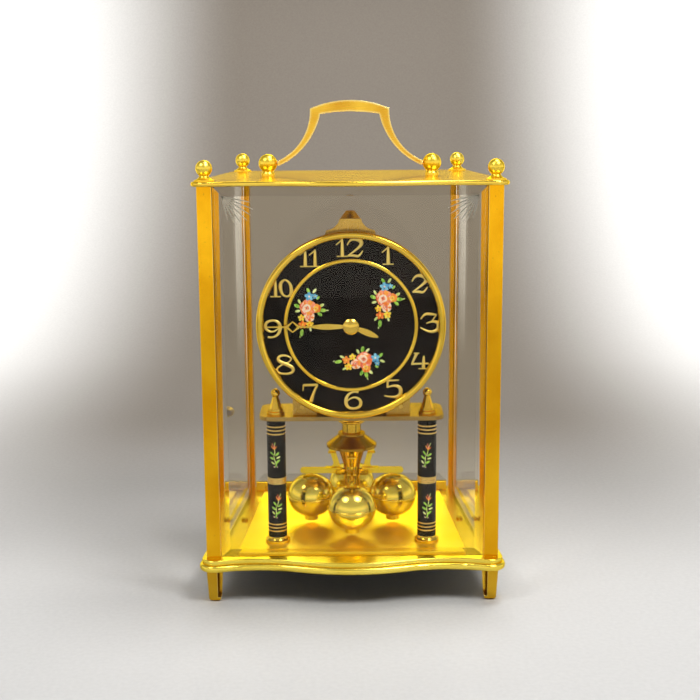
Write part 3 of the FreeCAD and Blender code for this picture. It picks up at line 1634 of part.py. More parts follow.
fork_z = center_z + dim.fork_rise
fork_tine_x = dim.fork_slot / 2
fork_ring = rod(dim.fork_radius, dim.fork_height)
fork_tines = [
    box(dim.fork_tine, dim.fork_reach, dim.fork_height, x, -dim.fork_reach)
    for x in (-fork_tine_x - dim.fork_tine, fork_tine_x)
]
fork = cut(fused([fork_ring] + fork_tines), [rod(dim.fork_bore, dim.fork_height)], "fork")
keep(place(fork, 0, dim.suspension_y, fork_z), "suspension_fork")


# Pendulum: a turned spindle with ears for four levers, a regulating disc, and a ball on each lever.

ball_low = platform_top + dim.ball_clearance
ball_middle = dim.ball_nub_height + dim.ball_half_height
ball_top_rise = ball_middle + dim.ball_half_height + dim.ball_neck
arm_z = ball_low + ball_top_rise
disc_low = dim.hub_rise + dim.disc_fit
neck_low = disc_low + dim.disc_height + dim.disc_fit
flange_low = neck_low + dim.neck_height
hook_low = flange_low + dim.flange_height
spindle_top = hook_low + dim.hook_height
flange_round = dim.flange_height / 2
QUARTERS = [(1, 0), (0, 1), (-1, 0), (0, -1)]

spindle = turned("spindle", [
    (0, -dim.hub_drop),
    (dim.hub_radius, -dim.hub_drop),
    (dim.hub_radius, dim.hub_cone_start),
    (dim.hub_cone_radius, dim.hub_rise - dim.hub_rim),
    (dim.hub_cone_radius, dim.hub_rise),
    (dim.spindle_radius, dim.hub_rise),
    (dim.spindle_radius, neck_low),
    (dim.neck_radius, neck_low),
    (dim.neck_radius, flange_low),
    (dim.flange_radius - flange_round, flange_low),
    (dim.flange_radius, flange_low + flange_round, flange_round, LEFT_TURN),
    (dim.flange_radius - flange_round, hook_low, flange_round, LEFT_TURN),
    (dim.hook_radius, hook_low),
    (dim.hook_radius, spindle_top),
    (0, spindle_top),
])


def at_quarter(along, aside, quarter):
    """Point along and beside a lever's line, turned to one of the four quarters."""
    run, cross = quarter
    return (along * run - aside * cross, along * cross + aside * run)


ear_inner = dim.lever_thickness / 2 + dim.ear_gap
ears = []
pin_holes = []
for number, quarter in enumerate(QUARTERS):
    turn = (UP, 90 * number)
    for aside in (ear_inner, -ear_inner - dim.ear_thickness):
        x, y = at_quarter(dim.spindle_radius, aside, quarter)
        ears.append(box(
            dim.ear_reach - dim.spindle_radius, dim.ear_thickness, dim.ear_height, x, y, -dim.ear_drop, turn,
        ))
    x, y = at_quarter(dim.lever_pivot_radius, -ear_inner - dim.ear_thickness, quarter)
    pin_holes.append(place(
        cut(
            rod(dim.lever_pin_radius + dim.lever_pin_fit, (ear_inner + dim.ear_thickness) * 2, turn=ALONG_Y),
            [box(dim.lever_thickness, ear_inner * 2, dim.lever_thickness * 2,
                 -dim.lever_thickness / 2, dim.ear_thickness, -dim.lever_thickness)],
            "pin_hole",
        ),
        x, y, dim.lever_pivot_rise, turn,
    ))
pendulum = cut(fused([spindle] + ears), pin_holes, "pendulum")
keep(place(pendulum, 0, dim.suspension_y, arm_z), "pendulum_spindle")

wire_low = arm_z + spindle_top
wire = box(
    dim.wire_width, dim.wire_thickness, block_z - wire_low,
    -dim.wire_width / 2, dim.suspension_y - dim.wire_thickness / 2, wire_low,
)
keep(wire, "suspension_wire")

disc_bore = dim.spindle_radius + dim.disc_fit
rim_top = dim.disc_rim_rise + dim.disc_rim_height
ring_low = dim.disc_height - dim.disc_ring_height
disc = turned("disc", [
    (disc_bore, 0),
    (dim.hub_cone_radius, 0),
    (dim.disc_rim_radius, dim.disc_rim_rise),
    (dim.disc_rim_radius, rim_top),
    (dim.disc_ring_radius - dim.disc_ring_height / 2, ring_low),
    (dim.disc_ring_radius, ring_low),
    (dim.disc_ring_radius, dim.disc_height),
    (disc_bore, dim.disc_height),
])
keep(place(disc, 0, dim.suspension_y, arm_z + disc_low), "regulating_disc")


def lever(quarter_turn):
    """Stamped lever: arm for a ball, leg up to the disc, pierced tab, lip and pivot pin."""
    tip_round = dim.lever_height / 2
    arm_end = dim.lever_outer_radius - tip_round
    leg_outer = dim.lever_leg_inset + dim.lever_leg_width
    leg_top = dim.lever_height + dim.lever_leg_height
    cove_lean = dim.lever_leg_splay * dim.lever_cove / dim.lever_leg_height
    stamping = new_body("stamping")
    outline = sketch_in(stamping, "XZ_Plane", -dim.lever_thickness / 2)
    draw_loop(outline, [
        (dim.lever_inner_radius, 0),
        (arm_end, 0),
        (dim.lever_outer_radius, tip_round, tip_round, LEFT_TURN),
        (arm_end, dim.lever_height, tip_round, LEFT_TURN),
        (leg_outer + dim.lever_cove, dim.lever_height),
        (leg_outer + cove_lean, dim.lever_height + dim.lever_cove, dim.lever_cove, RIGHT_TURN),
        (leg_outer + dim.lever_leg_splay, leg_top),
        (dim.lever_leg_inset + dim.lever_leg_splay, leg_top),
        (dim.lever_leg_inset, dim.lever_height),
        (dim.lever_inner_radius, dim.lever_height),
    ])
    pad(stamping, outline, dim.lever_thickness)
    tab = box(
        dim.lever_tab_outer - dim.lever_tab_inner, dim.lever_tab_width, dim.lever_tab_thickness,
        dim.lever_tab_inner, -dim.lever_tab_width / 2, dim.lever_height - dim.lever_tab_thickness,
    )
    lip = box(
        dim.lever_lip_outer - dim.lever_lip_inner, dim.lever_tab_width, dim.lever_lip_thickness,
        dim.lever_lip_inner, -dim.lever_tab_width / 2, dim.lever_lip_rise,
    )
    pin_half = dim.lever_thickness / 2 + dim.ear_gap + dim.ear_thickness
    pin = rod(dim.lever_pin_radius, pin_half * 2, dim.lever_pivot_radius, -pin_half, dim.lever_pivot_rise,
              ALONG_Y)
    tab_holes = [
        rod(dim.lever_tab_hole_radius, dim.lever_height, dim.lever_tab_hole_at,
            (dim.lever_tab_width + dim.lever_thickness) / 4 * way)
        for way in (-1, 1)
    ]
    piece = cut(fused([stamping, tab, lip, pin]), tab_holes, "lever")
    return place(piece, 0, dim.suspension_y, arm_z, (UP, quarter_turn))


def pendulum_ball():
    """Two spun half shells, a little flatter than a sphere, with a seam between them."""
    sweep, middle = dim.ball_half_height, ball_middle
    sweep_center = dim.ball_radius - sweep
    ridge = dim.ball_ridge_height / 2
    ridge_in = sweep_center + square_root(sweep * sweep - ridge * ridge)
    ridge_out = ridge_in + dim.ball_ridge_stand
    nub, neck = dim.ball_nub_radius, dim.ball_neck_radius
    nub_run, neck_run = nub - sweep_center, neck - sweep_center
    return turned("ball", [
        (0, 0),
        (nub, 0),
        (nub, middle - square_root(sweep * sweep - nub_run * nub_run)),
        (ridge_in, middle - ridge, sweep, LEFT_TURN),
        (ridge_out, middle - ridge),
        (ridge_out, middle + ridge),
        (ridge_in, middle + ridge),
        (neck, middle + square_root(sweep * sweep - neck_run * neck_run), sweep, LEFT_TURN),
        (neck, ball_top_rise),
        (0, ball_top_rise),
    ])


for number, quarter in enumerate(QUARTERS, start=1):
    keep(lever(90 * (number - 1)), f"pendulum_lever_{number}")
    x, y = at_quarter(dim.ball_circle_radius, sized(0), quarter)
    keep(place(pendulum_ball(), x, y + dim.suspension_y, ball_low), f"pendulum_ball_{number}")


# Check every object and shape, then write each sub-part to its own file.

doc.recompute()
failed = [obj.Label for obj in doc.Objects if "Invalid" in obj.State or "Error" in obj.State]
for node in nodes:
    if node.Shape.isNull() or not node.Shape.isValid() or not node.Shape.Solids:
        failed.append(node.Label)
if failed:
    raise RuntimeError("failed: " + ", ".join(failed))
os.makedirs("parts", exist_ok=True)
for node in nodes:
    node.Shape.exportStep(f"parts/{node.Label}.step")
print(len(nodes), "sub-parts written")
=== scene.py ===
import math

import bmesh
import bpy
from mathutils import Matrix, Vector


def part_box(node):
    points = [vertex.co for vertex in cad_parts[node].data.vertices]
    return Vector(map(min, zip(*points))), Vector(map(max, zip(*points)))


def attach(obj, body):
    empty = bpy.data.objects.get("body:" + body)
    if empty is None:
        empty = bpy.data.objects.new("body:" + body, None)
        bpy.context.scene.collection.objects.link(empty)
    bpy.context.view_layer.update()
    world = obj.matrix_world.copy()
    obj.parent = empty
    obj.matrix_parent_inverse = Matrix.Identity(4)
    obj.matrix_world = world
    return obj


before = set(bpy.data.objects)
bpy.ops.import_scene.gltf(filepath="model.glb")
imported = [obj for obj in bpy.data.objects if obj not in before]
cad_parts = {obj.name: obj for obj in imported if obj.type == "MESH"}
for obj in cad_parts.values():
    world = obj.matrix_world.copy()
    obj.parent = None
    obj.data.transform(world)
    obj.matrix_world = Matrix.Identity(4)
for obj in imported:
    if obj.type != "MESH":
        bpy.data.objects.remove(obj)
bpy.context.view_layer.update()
MM = 0.001

# Plinth, feet and bottom cover: a double-beaded serpentine casting of brass, lacquered and buffed to a
# soft gloss from left to right, on four pressed brass feet. A sheet closes it from below; its near-black
# colour is painted shade, which keeps the gap under the plinth dark.


def new_material(name):
    """A fresh material, its node tree and its surface shader."""
    material = bpy.data.materials.new(name)
    material.use_nodes = True
    tree = material.node_tree
    return material, tree, tree.nodes["Principled BSDF"]


def noise(tree, scale, stretch=(1.0, 1.0, 1.0), detail=4.0):
    """Noise over the object, drawn out along the axes whose stretch is small."""
    place = tree.nodes.new("ShaderNodeTexCoord")
    mapping = tree.nodes.new("ShaderNodeMapping")
    mapping.inputs["Scale"].default_value = stretch
    texture = tree.nodes.new("ShaderNodeTexNoise")
    texture.inputs["Scale"].default_value = scale
    texture.inputs["Detail"].default_value = detail
    tree.links.new(place.outputs["Object"], mapping.inputs["Vector"])
    tree.links.new(mapping.outputs["Vector"], texture.inputs["Vector"])
    return texture.outputs["Fac"]


def spread(tree, value, low, high, start=0.3, stop=0.7):
    """A noise value taken from start and stop to low and high."""
    spreader = tree.nodes.new("ShaderNodeMapRange")
    spreader.interpolation_type = "SMOOTHSTEP"
    for socket, number in (("From Min", start), ("From Max", stop), ("To Min", low), ("To Max", high)):
        spreader.inputs[socket].default_value = number
    tree.links.new(value, spreader.inputs["Value"])
    return spreader.outputs["Result"]


def tones(tree, value, dark, light, start=0.3, stop=0.7):
    """A noise value turned into a run from a dark tone to a light one."""
    ramp = tree.nodes.new("ShaderNodeValToRGB")
    for element, place, tone in zip(ramp.color_ramp.elements, (start, stop), (dark, light)):
        element.position = place
        element.color = (*tone, 1.0)
    tree.links.new(value, ramp.inputs["Fac"])
    return ramp.outputs["Color"]


def blended(tree, share, under, over):
    """Two colours mixed by a share from 0 to 1."""
    mixer = tree.nodes.new("ShaderNodeMix")
    mixer.data_type = "RGBA"
    tree.links.new(share, mixer.inputs["Factor"])
    tree.links.new(under, mixer.inputs["A"])
    tree.links.new(over, mixer.inputs["B"])
    return mixer.outputs["Result"]


def relief(tree, shader, height, depth, edge=0.0):
    """Bump of a small depth, over edges that are rounded off a little where an edge radius is given."""
    bump = tree.nodes.new("ShaderNodeBump")
    bump.inputs["Distance"].default_value = depth
    tree.links.new(height, bump.inputs["Height"])
    if edge:
        rounding = tree.nodes.new("ShaderNodeBevel")
        rounding.inputs["Radius"].default_value = edge
        tree.links.new(rounding.outputs["Normal"], bump.inputs["Normal"])
    tree.links.new(bump.outputs["Normal"], shader.inputs["Normal"])


def edge_highlight_share(tree, radius):
    """How near a point is to an edge that gets a painted highlight, from the turn of the rounded normal off
    the true one.
    """
    rounding = tree.nodes.new("ShaderNodeBevel")
    rounding.inputs["Radius"].default_value = radius
    flat = tree.nodes.new("ShaderNodeNewGeometry")
    likeness = tree.nodes.new("ShaderNodeVectorMath")
    likeness.operation = "DOT_PRODUCT"
    tree.links.new(rounding.outputs["Normal"], likeness.inputs[0])
    tree.links.new(flat.outputs["True Normal"], likeness.inputs[1])
    return spread(tree, likeness.outputs["Value"], low=1.0, high=0.0, start=0.80, stop=0.99)


def coat(tree, shader, colour, roughness):
    """Gives a surface shader its colour and its roughness."""
    tree.links.new(colour, shader.inputs["Base Color"])
    tree.links.new(roughness, shader.inputs["Roughness"])


def brass(name, dark, light, roughness, grain, grain_depth=1e-7, edge=0.0003, edge_highlight=0.0):
    """Brass with slow tarnish, brown specks, a painted highlight along its edges where asked, and polishing
    lines drawn out along one way.
    """
    material, tree, shader = new_material(name)
    shader.inputs["Metallic"].default_value = 1.0
    shader.inputs["Specular Tint"].default_value = (1.0, 0.80, 0.25, 1.0)
    lines = noise(tree, scale=1.0, stretch=grain, detail=3.0)
    tarnish = tones(tree, noise(tree, scale=38.0, detail=6.0), dark, light)
    specks = spread(tree, noise(tree, scale=900.0, detail=2.0), low=0.0, high=0.7, start=0.70, stop=0.78)
    brown = tones(tree, noise(tree, scale=120.0), (0.30, 0.13, 0.02), (0.45, 0.22, 0.03))
    finish = blended(tree, specks, tarnish, brown)
    # Pale edges: a painted highlight along the sharp edges.
    if edge_highlight:
        pale = tones(tree, noise(tree, scale=200.0), (0.96, 0.78, 0.24), (1.0, 0.90, 0.46))
        finish = blended(tree, edge_highlight_share(tree, edge_highlight), finish, pale)
    coat(tree, shader, finish, spread(tree, lines, low=roughness * 0.94, high=roughness * 1.08))
    relief(tree, shader, lines, grain_depth, edge)
    return material


def dress(material, *names):
    """Gives CAD nodes a finish."""
    for name in names:
        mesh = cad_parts[name].data
        mesh.materials.clear()
        mesh.materials.append(material)


plinth_brass = brass(
    "plinth_brass", (0.88, 0.65, 0.06), (0.96, 0.77, 0.13), roughness=0.24, grain=(120.0, 6000.0, 6000.0),
)
dress(plinth_brass, "base_plinth")
# The feet's edges get a painted highlight.
foot_brass = brass(
    "foot_brass", (0.56, 0.30, 0.012), (0.76, 0.46, 0.03), roughness=0.2, grain=(4000.0, 4000.0, 4000.0),
    edge=0.0005, edge_highlight=0.0006,
)
dress(foot_brass, "case_feet")
# The cover's near-black colour is painted shade, so that the gap under the plinth looks dark.
painted_shade_cover, tree, shader = new_material("painted_shade_cover")
cover_grain = noise(tree, scale=1800.0, detail=6.0)
painted_shade_cover_tone = tones(tree, cover_grain, (0.006, 0.005, 0.004), (0.020, 0.016, 0.012))
coat(tree, shader, painted_shade_cover_tone, spread(tree, cover_grain, low=0.7, high=0.95))
relief(tree, shader, cover_grain, depth=4e-5)
dress(painted_shade_cover, "bottom_cover")

# Floor platform: a brushed brass sheet inside the glass, with its scratch lines from left to right. Two
# slotted cheese-head screws hold it down beside the columns.
platform_brass = brass(
    "platform_brass", (0.92, 0.65, 0.04), (0.98, 0.74, 0.08), roughness=0.4, grain=(60.0, 4000.0, 4000.0),
    grain_depth=5e-7,
)
dress(platform_brass, "floor_platform")


def new_piece(name, mesh, body, slot, *materials):
    """Turns a bmesh into an object that rides on a body."""
    bmesh.ops.recalc_face_normals(mesh, faces=mesh.faces)
    data = bpy.data.meshes.new(name)
    mesh.to_mesh(data)
    mesh.free()
    for material in materials:
        data.materials.append(material)
    piece = bpy.data.objects.new(name, data)
    bpy.context.scene.collection.objects.link(piece)
    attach(piece, body)
    return piece


def slotted_head(mesh, radius, height, place, slot_width=0.2, slot_floor=0.4):
    """A round screw head that stands on a place: two half-moons with the slot's lower strip between them."""
    slot = radius * slot_width
    for low, high, rise in ((-radius, -slot, 1.0), (-slot, slot, slot_floor), (slot, radius, 1.0)):
        strip = bmesh.new()
        bmesh.ops.create_circle(strip, cap_ends=True, radius=radius, segments=40)
        for edge, outward in ((low, -1), (high, 1)):
            bmesh.ops.bisect_plane(
                strip, geom=[*strip.verts, *strip.edges, *strip.faces], plane_co=(edge, 0, 0),
                plane_no=(outward, 0, 0), clear_outer=True,
            )
        raised = bmesh.ops.extrude_face_region(strip, geom=strip.faces[:])["geom"]
        top = [part for part in raised if isinstance(part, bmesh.types.BMVert)]
        bmesh.ops.translate(strip, verts=top, vec=(0, 0, height * rise))
        bmesh.ops.translate(strip, verts=strip.verts, vec=place)
        block = bpy.data.meshes.new("screw_strip")
        strip.to_mesh(block)
        strip.free()
        mesh.from_mesh(block)
        bpy.data.meshes.remove(block)


screw_radius, screw_head, screw_x, screw_y = 2.0 * MM, 1.2 * MM, 63.6 * MM, 3.0 * MM
floor_screws = bmesh.new()
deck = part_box("base_plinth")[1].z
for side in (-1, 1):
    slotted_head(floor_screws, screw_radius, screw_head, (side * screw_x, screw_y, deck))
screw_brass = brass(
    "screw_brass", (0.60, 0.36, 0.04), (0.78, 0.50, 0.07), roughness=0.18, grain=(600.0, 600.0, 30.0),
)
new_piece("floor_screws", floor_screws, "case", "case_brass", screw_brass)

# Corner posts: four square brass tubes, drawn to size and buffed along their length. They stand on the plinth
# and carry the top plate.
# The posts' edges get a painted highlight.
post_brass = brass(
    "post_brass", (0.74, 0.33, 0.004), (0.90, 0.48, 0.012), roughness=0.2, grain=(6000.0, 6000.0, 120.0),
    edge_highlight=0.0005,
)
dress(post_brass, "post_front_left", "post_front_right", "post_back_left", "post_back_right")

# Glass: four bevelled plates, clear, with faint wiping smears and a warm grey tint that is painted shade on
# what is seen through them. They stand in the corners between the posts, and the back one is the door's.
pane_glass, tree, shader = new_material("pane_glass")
# The warm grey tint is painted shade on the view through the glass.
shader.inputs["Base Color"].default_value = (0.91, 0.88, 0.81, 1.0)
shader.inputs["Transmission Weight"].default_value = 1.0
shader.inputs["IOR"].default_value = 1.45
shader.inputs["Specular Tint"].default_value = (0.22, 0.22, 0.21, 1.0)
wiping = noise(tree, scale=14.0, stretch=(1.0, 1.0, 0.35), detail=5.0)
smears = spread(tree, wiping, low=0.0, high=0.03, start=0.45, stop=0.75)
tree.links.new(smears, shader.inputs["Roughness"])
path = tree.nodes.new("ShaderNodeLightPath")
clear = tree.nodes.new("ShaderNodeBsdfTransparent")
either = tree.nodes.new("ShaderNodeMixShader")
tree.links.new(path.outputs["Is Shadow Ray"], either.inputs["Fac"])
tree.links.new(shader.outputs["BSDF"], either.inputs[1])
tree.links.new(clear.outputs["BSDF"], either.inputs[2])
tree.links.new(either.outputs["Shader"], tree.nodes["Material Output"].inputs["Surface"])
dress(pane_glass, "front_glass", "left_glass", "right_glass", "back_door_glass")

# Star cuts: fans of fine wheel-ground rays in the two upper corners of the front glass, left matt so that
# they show white against the clear plate.
ray_lengths = (15.0, 17.5, 18.0, 18.0, 17.0, 15.0, 12.5)
ray_first, ray_last = math.radians(12), math.radians(76)
ray_width, ray_stand = 0.62 * MM, 0.03 * MM
pane_low, pane_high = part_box("front_glass")
ray_corner_in, ray_corner_down = 5.0 * MM, 5.0 * MM
ray_cuts = bmesh.new()
for side in (-1, 1):
    for number, length in enumerate(ray_lengths):
        turn = ray_first + (ray_last - ray_first) * number / (len(ray_lengths) - 1)
        ray = bmesh.ops.create_circle(ray_cuts, cap_ends=True, radius=0.5, segments=16)["verts"]
        bmesh.ops.scale(ray_cuts, verts=ray, vec=(length * MM, ray_width, 1.0))
        bmesh.ops.translate(ray_cuts, verts=ray, vec=(length * MM * 0.5, 0, 0))
        bmesh.ops.rotate(ray_cuts, verts=ray, matrix=Matrix.Rotation(-turn, 3, "Z"))
        bmesh.ops.scale(ray_cuts, verts=ray, vec=(-side, 1.0, 1.0))
        bmesh.ops.rotate(ray_cuts, verts=ray, matrix=Matrix.Rotation(math.radians(90), 3, "X"))
        corner_x = (pane_high.x - ray_corner_in) * side
        bmesh.ops.translate(
            ray_cuts, verts=ray, vec=(corner_x, pane_low.y - ray_stand, pane_high.z - ray_corner_down),
        )
bmesh.ops.solidify(ray_cuts, geom=ray_cuts.faces, thickness=-ray_stand)
ground_glass, tree, shader = new_material("ground_glass")
shader.inputs["Transmission Weight"].default_value = 0.4
grinding = noise(tree, scale=3000.0)
ground_tone = tones(tree, grinding, (0.62, 0.57, 0.46), (0.82, 0.77, 0.64))
coat(tree, shader, ground_tone, spread(tree, grinding, low=0.45, high=0.7))
relief(tree, shader, grinding, depth=1e-5)
new_piece("ray_cuts", ray_cuts, "case", "pane_glass", ground_glass)

# Top plate, finials and handle: a bullnosed brass plate, buffed from left to right, with four ball finials
# over the posts. The strip handle swings between two larger balls.
top_brass = brass(
    "top_brass", (0.82, 0.52, 0.05), (0.94, 0.70, 0.11), roughness=0.2, grain=(120.0, 6000.0, 6000.0),
)
dress(top_brass, "top_plate")
turned_brass = brass(
    "turned_brass", (0.90, 0.60, 0.04), (0.98, 0.76, 0.12), roughness=0.3, grain=(60.0, 60.0, 3000.0),
    edge=0.0001,
)
dress(turned_brass, "corner_finials", "handle_balls")
# The handle's edges get a painted highlight.
handle_brass = brass(
    "handle_brass", (0.58, 0.27, 0.02), (0.92, 0.60, 0.06), roughness=0.28, grain=(60.0, 2600.0, 900.0),
    edge_highlight=0.002,
)
dress(handle_brass, "handle")

# Back door: the fourth glass in two brass rails, which turn on pivot pins in the plinth and the top plate. A
# small turned knob opens it.
dress(plinth_brass, "back_door_rails")
dress(turned_brass, "back_door_knob")

# Columns: turned metal rods, stove-enamelled black, on brass feet and under brass finials, which clamp the
# movement's bridge between them.
column_black, tree, shader = new_material("column_black")
flow = noise(tree, scale=160.0, stretch=(1.0, 1.0, 0.3))
flow_tone = tones(tree, flow, (0.002, 0.002, 0.002), (0.012, 0.009, 0.007))
coat(tree, shader, flow_tone, spread(tree, flow, low=0.12, high=0.24))
shader.inputs["Specular IOR Level"].default_value = 0.3
relief(tree, shader, noise(tree, scale=900.0), depth=6e-6)
dress(column_black, "column_left", "column_right")
fitting_brass = brass(
    "fitting_brass", (0.76, 0.48, 0.04), (0.94, 0.68, 0.11), roughness=0.15, grain=(60.0, 60.0, 3000.0),
    edge=0.0001,
)
dress(fitting_brass, "column_feet", "column_finials")
bridge_brass = brass(
    "bridge_brass", (0.40, 0.26, 0.08), (0.56, 0.39, 0.13), roughness=0.24, grain=(60.0, 2600.0, 2600.0),
)
dress(bridge_brass, "movement_bridge")

# Gilt lines of the columns: three thin rings near each end and a broad one at the middle, painted on the
# enamel with a brush while the column turned.
ring_heights = (0.9, 0.9, 0.9, 4.0, 0.9, 0.9, 0.9)
ring_centers = (93.2, 91.2, 89.1, 62.4, 37.7, 35.7, 33.7)
ring_stand, ring_sink, ring_flat = 0.06 * MM, 0.2 * MM, 0.9
gilt, tree, shader = new_material("gilt_paint")
shader.inputs["Metallic"].default_value = 1.0
brushing = noise(tree, scale=1.0, stretch=(300.0, 300.0, 5000.0))
gilt_tone = tones(tree, brushing, (0.80, 0.52, 0.14), (0.96, 0.74, 0.28))
coat(tree, shader, gilt_tone, spread(tree, brushing, low=0.22, high=0.38))
relief(tree, shader, brushing, depth=8e-6)


def upright_axis(name):
    """The upright axis through the middle of a round node, and the node's radius."""
    low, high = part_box(name)
    return Vector(((low.x + high.x) / 2, (low.y + high.y) / 2, 0)), (high.x - low.x) / 2


for name in ("column_left", "column_right"):
    axis, radius = upright_axis(name)
    rings = bmesh.new()
    for height, center in zip(ring_heights, ring_centers):
        inner, outer, half = radius - ring_sink, radius + ring_stand, height * MM / 2
        section = [
            rings.verts.new(axis + Vector((reach, 0, center * MM + rise)))
            for reach, rise in (
                (inner, -half), (outer, -half * ring_flat), (outer, half * ring_flat), (inner, half),
            )
        ]
        edges = [rings.edges.new(pair) for pair in zip(section, section[1:] + section[:1])]
        bmesh.ops.spin(
            rings, geom=section + edges, cent=axis, axis=(0, 0, 1), angle=math.tau, steps=72, use_merge=True,
        )
    new_piece(f"{name}_lines", rings, "case", "column_enamel", gilt)

# Painted sprigs of the columns: a bud on a stem with leaves, set twice on the front of each column in thick
# enamel dabs by a loaded brush.


def enamel_paint(name, dark, light):
    """Opaque glossy enamel paint with brush streaks of two tones."""
    material, tree, shader = new_material(name)
    streaks = noise(tree, scale=900.0, stretch=(1.0, 1.0, 0.4), detail=5.0)
    streak_tone = tones(tree, streaks, dark, light, start=0.35, stop=0.65)
    coat(tree, shader, streak_tone, spread(tree, streaks, low=0.25, high=0.4))
    relief(tree, shader, streaks, depth=2e-5)
    return material


paints = [
    enamel_paint("salmon_paint", (0.85, 0.12, 0.06), (1.0, 0.40, 0.24)),
    enamel_paint("blush_paint", (0.95, 0.58, 0.42), (1.0, 0.90, 0.76)),
    enamel_paint("orange_paint", (0.90, 0.16, 0.02), (1.0, 0.42, 0.05)),
    enamel_paint("yellow_paint", (0.95, 0.56, 0.01), (1.0, 0.86, 0.08)),
    enamel_paint("blue_paint", (0.02, 0.26, 0.65), (0.26, 0.70, 0.95)),
    enamel_paint("green_paint", (0.12, 0.40, 0.02), (0.50, 0.85, 0.12)),
    enamel_paint("pale_green_paint", (0.55, 0.72, 0.14), (0.88, 0.97, 0.50)),
]
SALMON, BLUSH, ORANGE, YELLOW, BLUE, GREEN, PALE_GREEN = range(len(paints))
dab_thickness, dab_step, dab_steps = 0.10, 0.03, 3


def dab(mesh, x, z, long, wide, turn, paint, lift=0.0):
    """One flattened dab of paint in the X-Z plane, in millimetres, its length turned from +X by degrees."""
    verts = bmesh.ops.create_uvsphere(mesh, u_segments=14, v_segments=8, radius=0.5)["verts"]
    bmesh.ops.scale(mesh, verts=verts, vec=(long, dab_thickness * 2, wide))
    bmesh.ops.rotate(mesh, verts=verts, matrix=Matrix.Rotation(math.radians(-turn), 3, "Y"))
    bmesh.ops.translate(mesh, verts=verts, vec=(x, -lift, z))
    for face in {f for v in verts for f in v.link_faces}:
        face.material_index = paint
        face.smooth = True
    return verts


sprig_dabs = [
    (0.3, 4.4, 2.6, 0.9, 80, SALMON), (-0.7, 4.4, 2.4, 0.6, 122, ORANGE),
    (1.1, 4.1, 2.2, 0.6, 50, ORANGE), (0.2, 3.5, 1.2, 0.5, 88, YELLOW),
    (0.9, 6.2, 2.4, 0.35, 74, PALE_GREEN), (-0.4, 6.0, 1.6, 0.3, 104, SALMON),
    (0.3, 1.4, 4.4, 0.45, 84, PALE_GREEN), (-0.2, -2.6, 5.2, 0.45, 98, PALE_GREEN),
    (-1.3, 1.0, 2.8, 1.0, 138, GREEN), (1.6, 0.4, 3.0, 1.2, 40, GREEN),
    (1.9, -1.6, 2.6, 1.0, 20, PALE_GREEN), (-1.7, -1.7, 2.9, 1.2, 152, GREEN),
    (1.3, -3.9, 3.2, 1.3, 36, GREEN), (-1.4, -4.4, 2.4, 0.9, 140, PALE_GREEN),
    (0.2, -5.9, 2.2, 0.8, 74, GREEN), (-0.9, -6.7, 1.1, 0.5, 120, BLUSH),
    (0.8, -6.9, 0.9, 0.4, 60, BLUSH),
]


def sprig(mesh, x, z, lean):
    """A half-open bud over a bent stem with uneven leaves."""
    made = []
    for number, (along, up, long, wide, turn, paint) in enumerate(sprig_dabs):
        made += dab(mesh, along, up, long, wide, turn, paint, lift=number % dab_steps * dab_step)
    bmesh.ops.rotate(mesh, verts=made, matrix=Matrix.Rotation(math.radians(lean), 3, "Y"))
    bmesh.ops.translate(mesh, verts=made, vec=(x, 0, z))


sprig_places = {
    "column_left": ((-0.8, 77.5, -6), (0.2, 48.5, 8)),
    "column_right": ((-0.6, 77.0, 10), (0.2, 48.0, 4)),
}
for name, places in sprig_places.items():
    axis, radius = upright_axis(name)
    sprigs = bmesh.new()
    for along, up, lean in places:
        sprig(sprigs, along, up, lean)
    for vert in sprigs.verts:
        around, out = vert.co.x * MM / radius, radius - vert.co.y * MM
        vert.co = axis + Vector((out * math.sin(around), -out * math.cos(around), vert.co.z * MM))
    new_piece(f"{name}_sprigs", sprigs, "case", "column_enamel", *paints)

# Movement: two brass plates on pillars, with the barrel and its spring, the wheels and the motion work
# between and before them. The plates are grained, the wheels are stamped and left bright.
plate_brass = brass(
    "plate_brass", (0.52, 0.33, 0.07), (0.70, 0.47, 0.11), roughness=0.28, grain=(5000.0, 5000.0, 300.0),
)
dress(plate_brass, "front_plate", "back_plate", "suspension_bracket")
wheel_brass = brass(
    "wheel_brass", (0.74, 0.48, 0.09), (0.90, 0.64, 0.15), roughness=0.20, grain=(500.0, 40.0, 500.0),
    edge=0.0001,
)
dress(
    wheel_brass, "plate_pillars", "mainspring_barrel", "barrel_cap", "second_wheel", "third_wheel",
    "center_wheel", "fourth_wheel", "escape_wheel", "cannon_pinion", "minute_wheel", "hour_wheel",
    "suspension_fork",
)


def steel(name, dark, light, roughness, grain):
    """Hardened steel with fine polishing lines and a faint heat tint."""
    material, tree, shader = new_material(name)
    shader.inputs["Metallic"].default_value = 1.0
    lines = noise(tree, scale=1.0, stretch=grain, detail=3.0)
    heat_tint = tones(tree, noise(tree, scale=150.0), dark, light)
    coat(tree, shader, heat_tint, spread(tree, lines, low=roughness * 0.7, high=roughness * 1.4))
    relief(tree, shader, lines, depth=3e-6, edge=0.0001)
    return material


arbor_steel = steel(
    "arbor_steel", (0.42, 0.42, 0.43), (0.62, 0.62, 0.64), roughness=0.2, grain=(700.0, 50.0, 700.0),
)
dress(arbor_steel, "winding_arbor", "ratchet_wheel", "click", "anchor")
spring_steel = steel(
    "spring_steel", (0.16, 0.18, 0.24), (0.34, 0.36, 0.42), roughness=0.25, grain=(700.0, 700.0, 60.0),
)
dress(spring_steel, "mainspring", "suspension_wire")

